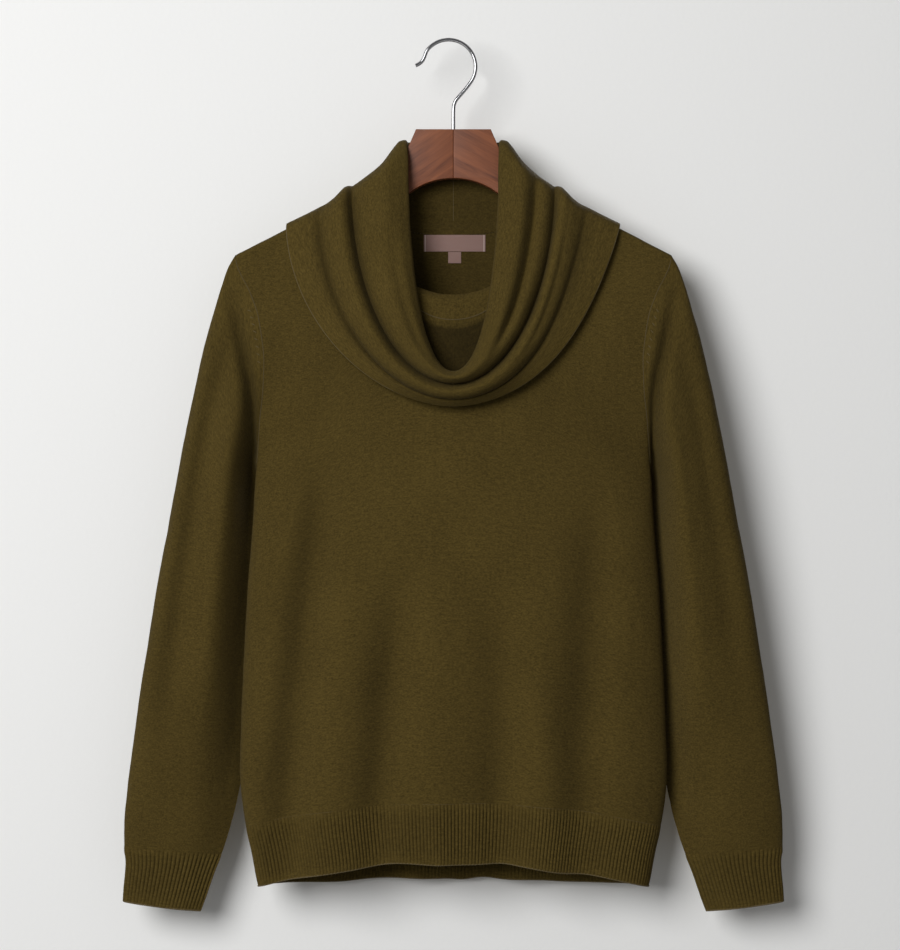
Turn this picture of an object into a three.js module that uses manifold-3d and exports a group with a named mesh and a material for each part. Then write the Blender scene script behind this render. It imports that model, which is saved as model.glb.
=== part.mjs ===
// A long-sleeved sweater in fine jersey with a deep cowl neck, hanging on a wooden hanger with a wire hook.
// Millimetres. +Z is up, -Y faces the viewer, and +X is the viewer's right.
// The origin is the highest point inside the hook, where it hangs on a rail.
import * as THREE from "three";
import { mergeVertices } from "three/addons/utils/BufferGeometryUtils.js";
import Module from "manifold-3d";

const wasm = await Module();
wasm.setup();

const WALL = 2; // the jersey, as thick as it drapes
const SEAM = 0.3; // free space between two pieces where they are sewn together
const CENTRE_X = 4.5; // the middle of hanger and sweater, to the right of the hook's highest point

const CLOTH = new THREE.MeshStandardMaterial({ color: 0x544822, roughness: 0.95, metalness: 0 });
const RIB = new THREE.MeshStandardMaterial({ color: 0x4c411d, roughness: 0.95, metalness: 0 });
const WOOD = new THREE.MeshStandardMaterial({ color: 0x7c4f3c, roughness: 0.45, metalness: 0 });
const CHROME = new THREE.MeshStandardMaterial({ color: 0xc8c8ca, roughness: 0.12, metalness: 1 });
const LABEL = new THREE.MeshStandardMaterial({ color: 0x8a6f6a, roughness: 0.55, metalness: 0 });

const mix = (a, b, share) => a + (b - a) * share;
const clamp = (value, low, high) => Math.min(high, Math.max(low, value));
const smooth = (value) => {
  const s = clamp(value, 0, 1);
  return s * s * (3 - 2 * s);
};
const bell = (distance, width) => Math.exp(-((distance / width) ** 2));

// Rows of numbers as objects, with the columns' names given once.
const table = (columns, rows) => {
  const names = columns.split(" ");
  return rows.map((row) => Object.fromEntries(names.map((name, i) => [name, row[i]])));
};

// A smooth function through a table's column, which never overshoots between two rows.
function through(rows, key, column) {
  const sorted = [...rows].sort((a, b) => a[key] - b[key]);
  const xs = sorted.map((row) => row[key]);
  const ys = sorted.map((row) => row[column]);
  const last = xs.length - 1;
  const rises = xs.slice(1).map((x, i) => (ys[i + 1] - ys[i]) / (x - xs[i]));
  const slopes = xs.map((_, i) => {
    if (i === 0) return rises[0];
    if (i === last) return rises[last - 1];
    const [before, after] = [rises[i - 1], rises[i]];
    return before * after <= 0 ? 0 : (2 * before * after) / (before + after);
  });
  return (at) => {
    if (at <= xs[0]) return ys[0];
    if (at >= xs[last]) return ys[last];
    const i = xs.findIndex((x) => x > at) - 1;
    const width = xs[i + 1] - xs[i];
    const t = (at - xs[i]) / width;
    const rest = 1 - t;
    return (
      ys[i] * (1 + 2 * t) * rest ** 2 +
      slopes[i] * width * t * rest ** 2 +
      ys[i + 1] * (3 - 2 * t) * t ** 2 -
      slopes[i + 1] * width * t ** 2 * rest
    );
  };
}

// Closed walls

// The outward normal of a surface given as a function of two numbers.
function normalOf(surface, a, b, stepA, stepB) {
  const alongA = surface(a + stepA, b).sub(surface(a - stepA, b));
  const alongB = surface(a, b + stepB).sub(surface(a, b - stepB));
  return alongA.cross(alongB).normalize();
}

function solid(points, triangles) {
  const geometry = new THREE.BufferGeometry();
  const places = points.flatMap((p) => p.toArray());
  geometry.setAttribute("position", new THREE.Float32BufferAttribute(places, 3));
  const volume = triangles.reduce((sum, [a, b, c]) => {
    return sum + points[a].dot(new THREE.Vector3().crossVectors(points[b], points[c])) / 6;
  }, 0);
  geometry.setIndex(triangles.flatMap(([a, b, c]) => (volume < 0 ? [a, c, b] : [a, b, c])));
  geometry.computeVertexNormals();
  return geometry;
}

// A wall between two grids of points, outer[row][column] and inner[row][column]. The inner grid may have
// fewer columns, as many times fewer as the outer one's divide by. A closed wall runs on from its last
// column to its first, and an open one has a rim there too.
function wall(outer, inner, closed) {
  const points = [];
  const number = (grid) => grid.map((row) => row.map((p) => points.push(p) - 1));
  const [out, inn] = [number(outer), number(inner)];
  const triangles = [];
  const spans = (row) => (closed ? row.length : row.length - 1);
  const next = (row, i) => (i + 1) % row.length;
  const quad = (a, b, c, d) => triangles.push([a, b, c], [a, c, d]);
  for (const [grid, turned] of [[out, false], [inn, true]]) {
    for (let j = 0; j + 1 < grid.length; j++) {
      for (let i = 0; i < spans(grid[j]); i++) {
        const k = next(grid[j], i);
        const corners = [grid[j][i], grid[j][k], grid[j + 1][k], grid[j + 1][i]];
        quad(...(turned ? corners.reverse() : corners));
      }
    }
  }
  const many = spans(out[0]) / spans(inn[0]);
  const rim = (fine, coarse, turned) => {
    for (let i = 0; i < spans(coarse); i++) {
      const half = i * many + Math.floor(many / 2);
      for (let m = i * many; m < (i + 1) * many; m++) {
        const tip = m < half ? coarse[i] : coarse[next(coarse, i)];
        const face = [fine[m], tip, fine[next(fine, m)]];
        triangles.push(turned ? face.reverse() : face);
      }
      const face = [coarse[i], coarse[next(coarse, i)], fine[half]];
      triangles.push(turned ? face.reverse() : face);
    }
  };
  rim(out[0], inn[0], false);
  rim(out.at(-1), inn.at(-1), true);
  if (!closed) {
    for (let j = 0; j + 1 < out.length; j++) {
      quad(out[j][0], out[j + 1][0], inn[j + 1][0], inn[j][0]);
      quad(out[j].at(-1), inn[j].at(-1), inn[j + 1].at(-1), out[j + 1].at(-1));
    }
  }
  return solid(points, triangles);
}

function piece(name, geometry, material) {
  const mesh = new THREE.Mesh(geometry, material);
  mesh.name = name;
  return mesh;
}

// Body

const NECK_HALF_WIDTH = 95;
const NECK_Z = -145; // the shoulder seam where it meets the neckline
const SHOULDER_SLOPE = 0.52;
const SADDLE = 9; // half the width of the cloth where it lies over the hanger's arm
const TIP_Z = NECK_Z - (206.5 - NECK_HALF_WIDTH) * SHOULDER_SLOPE; // the shoulder's outer end
const UNDERARM_Z = -400;
const FRONT_NECK_Z = -262;
const BACK_NECK_Z = -184;

// Half the body's width. Above the underarm this is the armhole seam.
const BODY_OUTLINE = [
  { z: TIP_Z, halfWidth: 206.5 },
  { z: -212, halfWidth: 205 },
  { z: -224, halfWidth: 200 },
  { z: -236, halfWidth: 193.5 },
  { z: -248, halfWidth: 188.5 },
  { z: -261, halfWidth: 184.2 },
  { z: -281, halfWidth: 180.7 },
  { z: -303, halfWidth: 178.5 },
  { z: -331, halfWidth: 179.5 },
  { z: -358, halfWidth: 182.6 },
  { z: -390, halfWidth: 185.3 },
  { z: -418, halfWidth: 187.8 },
  { z: -455, halfWidth: 190 },
  { z: -520, halfWidth: 195 },
  { z: -587, halfWidth: 198.7 },
  { z: -650, halfWidth: 201.2 },
  { z: -690, halfWidth: 202.3 },
  { z: -711, halfWidth: 201.3 },
  { z: -734, halfWidth: 198.4 },
  { z: -745, halfWidth: 196.4 },
  { z: -768, halfWidth: 191 },
  { z: -801, halfWidth: 185 },
];
// How far the middle of the front and of the back stand out from the hanger's plane.
const BODY_DEPTH = [
  { z: -145, front: 27, back: 20 },
  { z: -260, front: 30, back: 23 },
  { z: -350, front: 33, back: 25 },
  { z: -500, front: 36, back: 27 },
  { z: -650, front: 37, back: 27 },
  { z: -801, front: 35, back: 25 },
];
// How much further out than the saddle the armhole seam runs, by its drop below the shoulder line.
const ARMHOLE = [
  { drop: 9, front: 0, back: 0 },
  { drop: 30, front: 4, back: 2.5 },
  { drop: 58, front: 9, back: 6 },
  { drop: 90, front: 13, back: 8.5 },
  { drop: 120, front: 13, back: 7.5 },
  { drop: 150, front: 10, back: 3 },
  { drop: 180, front: 4, back: -6.5 },
  { drop: 197, front: -0.5, back: -12 },
  { drop: 207.5, front: -3, back: -15 },
];
// Soft upright folds. Each fades out at its top; depth is positive inwards.
const FRONT_FOLDS = [
  { lowX: -157, highX: -132, topZ: -400, depth: 6, width: 24 },
  { lowX: -112, highX: -100, topZ: -470, depth: -2.5, width: 22 },
  { lowX: -70, highX: -76, topZ: -470, depth: 5, width: 22 },
  { lowX: -22, highX: -24, topZ: -450, depth: -3, width: 17 },
  { lowX: 30, highX: 26, topZ: -480, depth: 4.5, width: 23 },
  { lowX: 75, highX: 70, topZ: -480, depth: -2.5, width: 22 },
  { lowX: 119, highX: 121, topZ: -420, depth: 5.5, width: 24 },
];
const BACK_FOLDS = [
  { lowX: -128, highX: -120, topZ: -380, depth: 5.5, width: 24 },
  { lowX: -82, highX: -84, topZ: -450, depth: -2.5, width: 20 },
  { lowX: -38, highX: -30, topZ: -430, depth: 5, width: 22 },
  { lowX: 14, highX: 12, topZ: -470, depth: -2.5, width: 18 },
  { lowX: 62, highX: 52, topZ: -440, depth: 4.5, width: 22 },
  { lowX: 146, highX: 128, topZ: -400, depth: 5.5, width: 24 },
];
// Small rises and dips of the front and back lower edges.
const FRONT_HEM_WAVES = [
  { x: -52, rise: 2.4, width: 22 },
  { x: 46, rise: 1.4, width: 15 },
  { x: 100, rise: -2.2, width: 20 },
];
const BACK_HEM_WAVES = [
  { x: -104, rise: -1.2, width: 20 },
  { x: -52, rise: 1.6, width: 24 },
  { x: 9, rise: -1.4, width: 10 },
  { x: 31, rise: 1.4, width: 12 },
  { x: 107, rise: -1.6, width: 24 },
];
const HEM_CORNER_Z = -801;
const HEM_CORNER_X = 185;
const FRONT_HEM_RISE = 24; // the front's lower edge hangs this much higher in the middle
const BACK_HEM_RISE = 3;
const HEM_HEIGHT = 57;
const FOLD_FADE = 170; // length over which a fold grows from nothing
const FILL_START = 6; // how far below the shoulder line the cloth begins to fill out to its depth
const FILL_LENGTH = 170; // and the length over which it does
const UNDERARM_FADE = 170; // length over which the chest's section turns into the waist's
const CHEST_POWER = 2.4; // how flat the section is across the chest
const WAIST_POWER = 4.5; // and across the waist, where it also closes round at the sides
const HEM_POWER = 2.2; // how squarely the lower edge rises toward the middle

const halfWidth = through(BODY_OUTLINE, "z", "halfWidth");
const FACES = {
  front: {
    toward: -1,
    depth: through(BODY_DEPTH, "z", "front"),
    armhole: through(ARMHOLE, "drop", "front"),
    folds: FRONT_FOLDS,
    waves: FRONT_HEM_WAVES,
    hemRise: FRONT_HEM_RISE,
    neckZ: FRONT_NECK_Z,
  },
  back: {
    toward: 1,
    depth: through(BODY_DEPTH, "z", "back"),
    armhole: through(ARMHOLE, "drop", "back"),
    folds: BACK_FOLDS,
    waves: BACK_HEM_WAVES,
    hemRise: BACK_HEM_RISE,
    neckZ: BACK_NECK_Z,
  },
};

const shoulderZ = (x) => {
  return NECK_Z - (Math.max(Math.abs(x), NECK_HALF_WIDTH) - NECK_HALF_WIDTH) * SHOULDER_SLOPE;
};
const saddle = (drop) => SADDLE * (1 - (1 - clamp(drop / SADDLE, 0, 1)) ** 3) ** (1 / 3);

function foldAt(folds, x, z) {
  return folds.reduce((sum, fold) => {
    const fallen = smooth((fold.topZ - z) / FOLD_FADE);
    const middle = mix(fold.highX, fold.lowX, smooth((fold.topZ - z) / (fold.topZ - HEM_CORNER_Z)));
    return sum - fold.depth * fallen * bell(x - middle, fold.width);
  }, 0);
}

// A point of the body. across runs from -1 at the left side line to 1 at the right one.
function bodyPoint(face, across, z) {
  const { toward, depth, armhole, folds } = FACES[face];
  const side = Math.abs(across);
  const x = across * halfWidth(z);
  const drop = Math.max(0, shoulderZ(x) - z);
  const under = smooth((UNDERARM_Z - z) / UNDERARM_FADE + 0.5);
  const round = mix(1 - side ** CHEST_POWER, Math.sqrt(Math.max(0, 1 - side ** WAIST_POWER)), under);
  const middle = (depth(z) - SADDLE) * smooth((drop - FILL_START) / FILL_LENGTH) + foldAt(folds, x, z);
  const out = saddle(drop) + mix(armhole(drop), middle, round);
  return new THREE.Vector3(x, toward * out, z);
}

const straightHemZ = (face, x) => {
  return HEM_CORNER_Z + FACES[face].hemRise * (1 - Math.min(1, Math.abs(x) / HEM_CORNER_X) ** HEM_POWER);
};
const ribTopZ = (face, x) => straightHemZ(face, x) + HEM_HEIGHT;
const hemZ = (face, x) => {
  const waves = FACES[face].waves.reduce((sum, wave) => sum + wave.rise * bell(x - wave.x, wave.width), 0);
  return straightHemZ(face, x) + waves;
};
// Each neckline is half an ellipse.
const necklineZ = (face, x) => {
  const { neckZ } = FACES[face];
  return NECK_Z + (neckZ - NECK_Z) * Math.sqrt(1 - Math.min(1, Math.abs(x) / NECK_HALF_WIDTH) ** 2);
};
const NECK_ACROSS = NECK_HALF_WIDTH / halfWidth(NECK_Z);
const topZ = (face, across) => {
  const x = Math.abs(across) * halfWidth(NECK_Z);
  return Math.abs(across) < NECK_ACROSS ? necklineZ(face, x) : shoulderZ(x);
};

const NEAR_UNDERARM = 60; // above the underarm, front and back are this close to each other

// Where front and back meet below the underarm, before or behind the hanger's plane, and the middle
// between their edges above it.
const sideSeamY = (z) => {
  const drop = shoulderZ(halfWidth(z)) - z;
  return (FACES.back.armhole(drop) - FACES.front.armhole(drop)) / 2;
};

// The two sides of a body wall and its normal, with the seam's half gap where front and back meet.
function bodyWall(face, across, z, thickness = WALL) {
  const edge = 1e-4;
  const inside = clamp(across, edge - 1, 1 - edge);
  const below = Math.min(z, topZ(face, inside) - 0.05);
  const normal = normalOf((a, b) => bodyPoint(face, a, b), inside, below, edge * 0.9, 0.04);
  const turnedAway = normal.y * FACES[face].toward < 0;
  if (turnedAway || (Math.abs(normal.y) < 1e-3 && normal.x * across < 0)) normal.negate();
  const outer = bodyPoint(face, across, z);
  const seam = FACES[face].toward * (SEAM / 2);
  const atSide = Math.abs(across) === 1 && z < UNDERARM_Z + 1;
  const atShoulder = Math.abs(outer.y) < SEAM / 2;
  if (atSide || atShoulder) outer.y += seam;
  if (atSide) normal.set(Math.sign(across), 0, 0);
  if (atShoulder) normal.set(Math.sign(across) * SHOULDER_SLOPE, 0, 1).normalize();
  const inner = outer.clone().addScaledVector(normal, -thickness);
  if (z < UNDERARM_Z + NEAR_UNDERARM) {
    const short = sideSeamY(z) + seam - inner.y;
    if (short * seam > 0) inner.y += short;
  }
  return [outer, inner, normal];
}

// The angles round the neck at which the collar and both necklines have their points: 0 is the middle of
// the front, and they stand closer together over the hanger's arms.
const NECK_STEPS = 52;
const NECK_WARP = 0.42;
const neckAngles = Array.from({ length: NECK_STEPS }, (_, i) => {
  const even = (2 * Math.PI * i) / NECK_STEPS;
  return even + NECK_WARP * Math.sin(2 * even);
});
const neckAcross = (angle) => Math.sin(angle) * NECK_ACROSS;

const SHOULDER_COLUMNS = [1, 0.95, 0.87, 0.77, 0.65, 0.55];
const BOTTOM_POWER = 0.62; // draws the columns together at the body's round sides

// Columns of a panel from its left side to its right one: where each meets the top and the bottom edge.
function panelColumns(face) {
  const quarter = NECK_STEPS / 4;
  const way = face === "front" ? -1 : 1;
  const order = Array.from({ length: quarter + 1 }, (_, i) => quarter + way * i);
  const neck = order.map((i) => neckAcross(neckAngles[i]));
  neck[quarter] = 0;
  const top = [...SHOULDER_COLUMNS, ...neck];
  const last = top.length - 1;
  const bottom = top.map((_, i) => Math.cos((Math.PI / 2) * (i / last)) ** BOTTOM_POWER);
  bottom[last] = 0;
  const half = top.map((t, i) => ({ top: t, bottom: bottom[i] }));
  const left = half.map(({ top: t, bottom: b }) => ({ top: -t, bottom: -b }));
  return [...left, ...half.slice(0, -1).reverse()];
}

// The armhole seam is drawn through as many points down the front as down the back.
const ARMHOLE_STEPS = 10;
const armholeShare = (step) => 0.5 - 0.5 * Math.cos((Math.PI * step) / ARMHOLE_STEPS);
const armholeZ = (share) => mix(TIP_Z, UNDERARM_Z, share);
const SADDLE_DROPS = [0, 0.4, 1.5];
const LOWER_SHARES = [0.16, 0.34, 0.54, 0.74, 0.88, 1];
const SPREAD_BY = 0.7; // the share of the panel by which its columns stand as they do at the bottom

// A panel's row runs level at its side end; in the middle it follows the neckline above and the rib below.
function panelRows() {
  const saddleRows = SADDLE_DROPS.map((drop) => ({ drop, down: 0, spread: 0 }));
  const lowest = HEM_CORNER_Z + HEM_HEIGHT;
  const sideZ = [
    ...Array.from({ length: ARMHOLE_STEPS }, (_, i) => armholeZ(armholeShare(i + 1))),
    ...LOWER_SHARES.map((share) => mix(UNDERARM_Z, lowest, share)),
  ];
  return [...saddleRows, ...sideZ.map((z) => {
    const down = (TIP_Z - z) / (TIP_Z - lowest);
    return { drop: 0, down, spread: smooth(down / SPREAD_BY) };
  })];
}

function panel(face) {
  const columns = panelColumns(face);
  const [outer, inner] = [[], []];
  for (const { drop, down, spread } of panelRows()) {
    const pairs = columns.map(({ top, bottom }) => {
      const across = mix(top, bottom, spread);
      const lowest = ribTopZ(face, across * HEM_CORNER_X) + SEAM / 2;
      return bodyWall(face, across, mix(topZ(face, top) - drop, lowest, down));
    });
    outer.push(pairs.map(([p]) => p));
    inner.push(pairs.map(([, p]) => p));
  }
  return piece(face, wall(outer, inner, false), CLOTH);
}

// Ribbed bands

const RIB_PITCH = 3.4;
const RIB_RAISE = 0.7;
const RIB_WALL = 1.8;
const INNER_EVERY = 8; // the plain inside has one column for this many of the ribbed outside

// The lengths of a line, a function of a number from 0 to 1, up to evenly spaced numbers.
const LINE_SAMPLES = 1200;
function lengthsOf(line) {
  const lengths = [0];
  for (let i = 1; i <= LINE_SAMPLES; i++) {
    lengths.push(lengths.at(-1) + line(i / LINE_SAMPLES).distanceTo(line((i - 1) / LINE_SAMPLES)));
  }
  return lengths;
}

// Numbers from 0 to 1 at which the points of such a line are evenly far apart.
function evenly(lengths, count) {
  let k = 0;
  return Array.from({ length: count + 1 }, (_, n) => {
    const wanted = (n / count) * lengths.at(-1);
    while (k < LINE_SAMPLES - 1 && lengths[k + 1] < wanted) k++;
    return (k + (wanted - lengths[k]) / (lengths[k + 1] - lengths[k])) / LINE_SAMPLES;
  });
}

function hemBand(face) {
  const across = (share) => -Math.cos(Math.PI * share);
  const middle = (share) => {
    const a = across(share);
    return bodyPoint(face, a, straightHemZ(face, a * HEM_CORNER_X) + HEM_HEIGHT / 2);
  };
  const lengths = lengthsOf(middle);
  const columns = Math.round((lengths.at(-1) * 2) / RIB_PITCH / INNER_EVERY) * INNER_EVERY;
  const shares = evenly(lengths, columns);
  const [outer, inner] = [[], []];
  for (const up of [0, 1]) {
    const pairs = shares.map((share, i) => {
      const a = i === 0 ? -1 : i === columns ? 1 : across(share);
      const z = up ? ribTopZ(face, a * HEM_CORNER_X) - SEAM / 2 : hemZ(face, a * HEM_CORNER_X);
      const [outside, inside, normal] = bodyWall(face, a, z, RIB_WALL);
      const raised = i > 0 && i < columns && i % 2 === 1 ? RIB_RAISE : 0;
      return [outside.addScaledVector(normal, raised), inside];
    });
    outer.push(pairs.map(([p]) => p));
    inner.push(pairs.filter((_, i) => i % INNER_EVERY === 0).map(([, p]) => p));
  }
  return piece(`hem_rib_${face}`, wall(outer, inner, false), RIB);
}

// Sleeves. Each row is one ring, from the armhole to the cuff's lower edge: its outer and inner ends, its
// depth before and behind the line between them, the tuck in its front, and how much of the armhole's
// own shape it holds.
const SLEEVE = table("row outX outZ inX inZ outY inY front back tuck hold", [
  [0, 206.5, TIP_Z, 186, -400, 0, -6, 24, 20, 0, 1],
  [1, 213.5, -215, 186.4, -402, -0.5, -5, 25, 20, 0.5, 0.8],
  [2, 219.5, -232, 186.8, -405, -2, -1.5, 28, 20, 2.5, 0.55],
  [3, 226, -254, 187, -409, -3, 3, 31, 21, 5, 0.3],
  [4, 236.5, -292, 186.5, -417, -4, 8, 33, 21, 7, 0.12],
  [5, 248, -344, 185.5, -430, -5, 13, 34, 21, 7, 0],
  [6, 259, -400, 184.5, -448, -6, 16, 35, 21, 6, 0],
  [7, 269, -455, 184.5, -475, -6, 17.5, 34, 20, 5, 0],
  [8, 279.7, -512, 186.5, -520, -6, 18, 33, 19, 4, 0],
  [9, 289.7, -573, 190, -580, -5, 17.5, 31, 17, 3, 0],
  [10, 300, -640, 194.5, -646, -4, 16, 28, 15, 2, 0],
  [11, 308, -700, 202.5, -703, -3, 12, 22, 13, 1, 0],
  [12, 312, -738, 211, -742, -2, 6, 17, 12, 0, 0],
  [13, 312.5, -764, 220.5, -772, -1, 2, 13, 11, 0, 0],
  [14, 310.8, -780, 227, -788, 0, 2, 11.5, 10.5, 0, 0],
  [15, 314, -816, 240, -826, 0, 2, 10, 9, 0, 0],
]);
const CUFF_ROW = 13; // where the sleeve ends and the cuff begins
const TUCK_AT = 0.68; // the tuck's place between the outer and the inner end
const TUCK_WIDTH = 0.16;
const SLEEVE_POWER = 0.8; // how full the sleeve's section is
const FLATTER_INSIDE = 1.4; // how much the front falls back toward the body, where it goes behind it
const sleeveColumn = Object.fromEntries(
  Object.keys(SLEEVE[0]).map((column) => [column, through(SLEEVE, "row", column)]),
);

// The armhole seam at a share of the way from the shoulder's tip down to the underarm.
function armholePoint(share, face) {
  return bodyPoint(face, 1, armholeZ(share)).add(new THREE.Vector3(SEAM, 0, 0));
}

// A point of the right sleeve. turn runs once round from the outer end, over the front, to the inner end
// and back behind.
function sleevePoint(turn, row) {
  const round = ((turn % 1) + 1) % 1;
  const at = Object.fromEntries(Object.entries(sleeveColumn).map(([name, column]) => [name, column(row)]));
  const inward = 0.5 - 0.5 * Math.cos(2 * Math.PI * round);
  const face = round < 0.5 ? "front" : "back";
  const flatter = face === "front" ? FLATTER_INSIDE * smooth((inward - 0.5) / 0.4) : 0;
  const bulge = Math.abs(Math.sin(2 * Math.PI * round)) ** (SLEEVE_POWER + flatter);
  const tuck = face === "front" ? at.tuck * bell(inward - TUCK_AT, TUCK_WIDTH) : 0;
  const lift = FACES[face].toward * (at[face] * bulge - tuck);
  const own = new THREE.Vector3(
    mix(at.outX, at.inX, inward),
    mix(at.outY, at.inY, inward) + lift,
    mix(at.outZ, at.inZ, inward),
  );
  if (at.hold === 0) return own;
  const seam = armholePoint(inward, face);
  seam.x += mix(at.outX - SLEEVE[0].outX, at.inX - SLEEVE[0].inX, inward);
  seam.y += mix(at.outY - SLEEVE[0].outY, at.inY - SLEEVE[0].inY, inward);
  seam.z += mix(at.outZ - SLEEVE[0].outZ, at.inZ - SLEEVE[0].inZ, inward);
  return own.lerp(seam, at.hold);
}

function sleeveNormal(turn, row) {
  const step = 0.02;
  const middle = clamp(row, step, SLEEVE.length - 1 - step);
  const normal = normalOf(sleevePoint, turn, middle, 0.004, step);
  const centre = sleevePoint(0, middle).add(sleevePoint(0.5, middle)).multiplyScalar(0.5);
  return normal.dot(sleevePoint(turn, middle).sub(centre)) < 0 ? normal.negate() : normal;
}

const SLEEVE_STEPS = 2 * ARMHOLE_STEPS;
const OWN_FROM = 0.8; // down to here the sleeve's edge is parallel to the panel's, as one cloth
const SLEEVE_ROWS = [0, 0.5, 1, 1.7, 2.4, 3.2, 4, 5, 6, 7, 8, 9, 10, 11, 12, CUFF_ROW];

function sleeve() {
  const [outer, inner] = [[], []];
  for (const row of SLEEVE_ROWS) {
    const end = row === CUFF_ROW ? row - 0.01 : row;
    const pairs = Array.from({ length: SLEEVE_STEPS }, (_, i) => {
      const turn = i / SLEEVE_STEPS;
      const outside = sleevePoint(turn, end);
      const normal = sleeveNormal(turn, end);
      if (row < 1) {
        const face = turn < 0.5 ? "front" : "back";
        const inward = 0.5 - 0.5 * Math.cos(2 * Math.PI * turn);
        const own = smooth((inward - OWN_FROM) / (1 - OWN_FROM));
        const [, , panelNormal] = bodyWall(face, 1, armholeZ(inward));
        if (inward < 0.02) panelNormal.set(SHOULDER_SLOPE, 0, 1).normalize();
        normal.lerp(panelNormal, (1 - own) * (1 - row)).normalize();
      }
      return [outside, outside.clone().addScaledVector(normal, -WALL)];
    });
    outer.push(pairs.map(([p]) => p));
    inner.push(pairs.map(([, p]) => p));
  }
  return wall(outer, inner, true);
}

const CUFF_RIBS = 48;

function cuff() {
  const top = CUFF_ROW + 0.01;
  const bottom = SLEEVE.length - 1;
  const columns = CUFF_RIBS * 2;
  const lengths = lengthsOf((turn) => sleevePoint(turn, (top + bottom) / 2));
  const turns = evenly(lengths, columns).slice(0, columns);
  const [outer, inner] = [[], []];
  for (const row of [top, bottom]) {
    const pairs = turns.map((turn, i) => {
      const outside = sleevePoint(turn, row);
      const normal = sleeveNormal(turn, row);
      const inside = outside.clone().addScaledVector(normal, -RIB_WALL);
      return [outside.addScaledVector(normal, (i % 2) * RIB_RAISE), inside];
    });
    outer.push(pairs.map(([p]) => p));
    inner.push(pairs.filter((_, i) => i % (INNER_EVERY / 2) === 0).map(([, p]) => p));
  }
  return wall(outer, inner, true);
}

function mirrored(geometry) {
  const copy = geometry.clone().scale(-1, 1, 1);
  const index = Array.from(copy.index.array);
  for (let i = 0; i < index.length; i += 3) [index[i + 1], index[i + 2]] = [index[i + 2], index[i + 1]];
  copy.setIndex(index);
  copy.computeVertexNormals();
  return copy;
}

// Collar. Each row is one ring round the neck, in the order of the cloth: up from the neckline seam, over
// the crest, and down outside to the collar's free edge. A ring is given by the middle of its front, its
// side and the middle of its back, by its full or hollow shape, and by how fast it leaves the arm's plane.
const COLLAR_THICKNESS = 2.2;
const COLLAR = table("row frontY frontZ sideX sideZ backY backZ full leave", [
  [1, -24, -243, 90.5, -140.5, 12, -172, 2, 9.6],
  [2, -29.5, -250, 85, -136, 13.5, -160, 2.05, 9.6],
  [3, -32.5, -267, 78.5, -130.5, 15, -147, 2.15, 9.8],
  [4, -35, -296, 70.5, -124, 17, -132, 2.3, 10],
  [5, -38.5, -323, 62, -116.5, 19.5, -117, 2.35, 10.4],
  [6, -43.5, -330.5, 53.5, -108.5, 22, -106, 2.3, 11],
  [7, -49, -325.5, 46, -101.5, 25, -98.5, 2.2, 11.5],
  [8, -56.5, -316.5, 48.2, -95.6, 30, -95, 2.12, 13],
  [9, -63, -318.5, 54, -101, 35.5, -99.5, 2.08, 15],
  [10, -65.5, -322.5, 67, -117, 39.5, -114, 2.05, 17],
  [11, -62.5, -326, 82, -128.8, 42, -136, 2.02, 18],
  [12, -55.5, -325, 96, -138.5, 38.5, -160, 2, 15],
  [13, -61.5, -331, 101.5, -138.8, 42, -177, 2, 17],
  [14, -60.5, -338, 113, -149.5, 41.5, -198, 1.98, 16],
  [15, -51.5, -341.5, 127, -158.5, 37, -213, 1.95, 13.5],
  [16, -49, -344, 141, -165.5, 36.5, -226, 1.88, 12.5],
  [17, -46.5, -347, 157.5, -173.5, 35, -240, 1.85, 12],
]);
const LAST_RING = COLLAR.length;
const CREST_ROW = 8;
const LEAVE_OVER = 0.018; // the share of a quarter turn over which a ring leaves the arm's plane
const RIGHT_NARROWER = 0.065; // how much closer the flat edge lies on the right, halfway down its front
const collarColumn = Object.fromEntries(
  Object.keys(COLLAR[0]).map((column) => [column, through(COLLAR, "row", column)]),
);

const FOOT_GAP = 0.4;
const FOOT_GAP_OVER_ARM = 0.7; // more, where the collar starts on a slant

// The neckline in the middle of the panels' thickness.
function neckline(angle) {
  const face = Math.cos(angle) >= 0 ? "front" : "back";
  const across = neckAcross(angle);
  const [outer, inner] = bodyWall(face, across, topZ(face, across));
  return outer.add(inner).multiplyScalar(0.5);
}

// The collar starts a seam's width inside the neckline, in the panels' own plane, and then bends to its
// first ring.
function collarFoot(angle, share) {
  const step = 0.01;
  const tangent = neckline(angle + step).sub(neckline(angle - step));
  const inward = new THREE.Vector3(-tangent.z, 0, tangent.x).normalize();
  const seam = neckline(angle);
  if (inward.x * seam.x - inward.z * (NECK_Z + NECK_HALF_WIDTH - seam.z) > 0) inward.negate();
  const overArm = 1 - smooth(Math.abs(Math.cos(angle)) * 5);
  const foot = seam.addScaledVector(inward, FOOT_GAP + FOOT_GAP_OVER_ARM * overArm);
  const ring = collarRing(angle, 1);
  const start = inward.lerp(ring.clone().sub(foot).normalize(), overArm);
  const bend = foot.clone().addScaledVector(start, foot.distanceTo(ring) / 2);
  return foot.lerp(bend, share).lerp(bend.lerp(ring, share), share);
}

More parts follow.
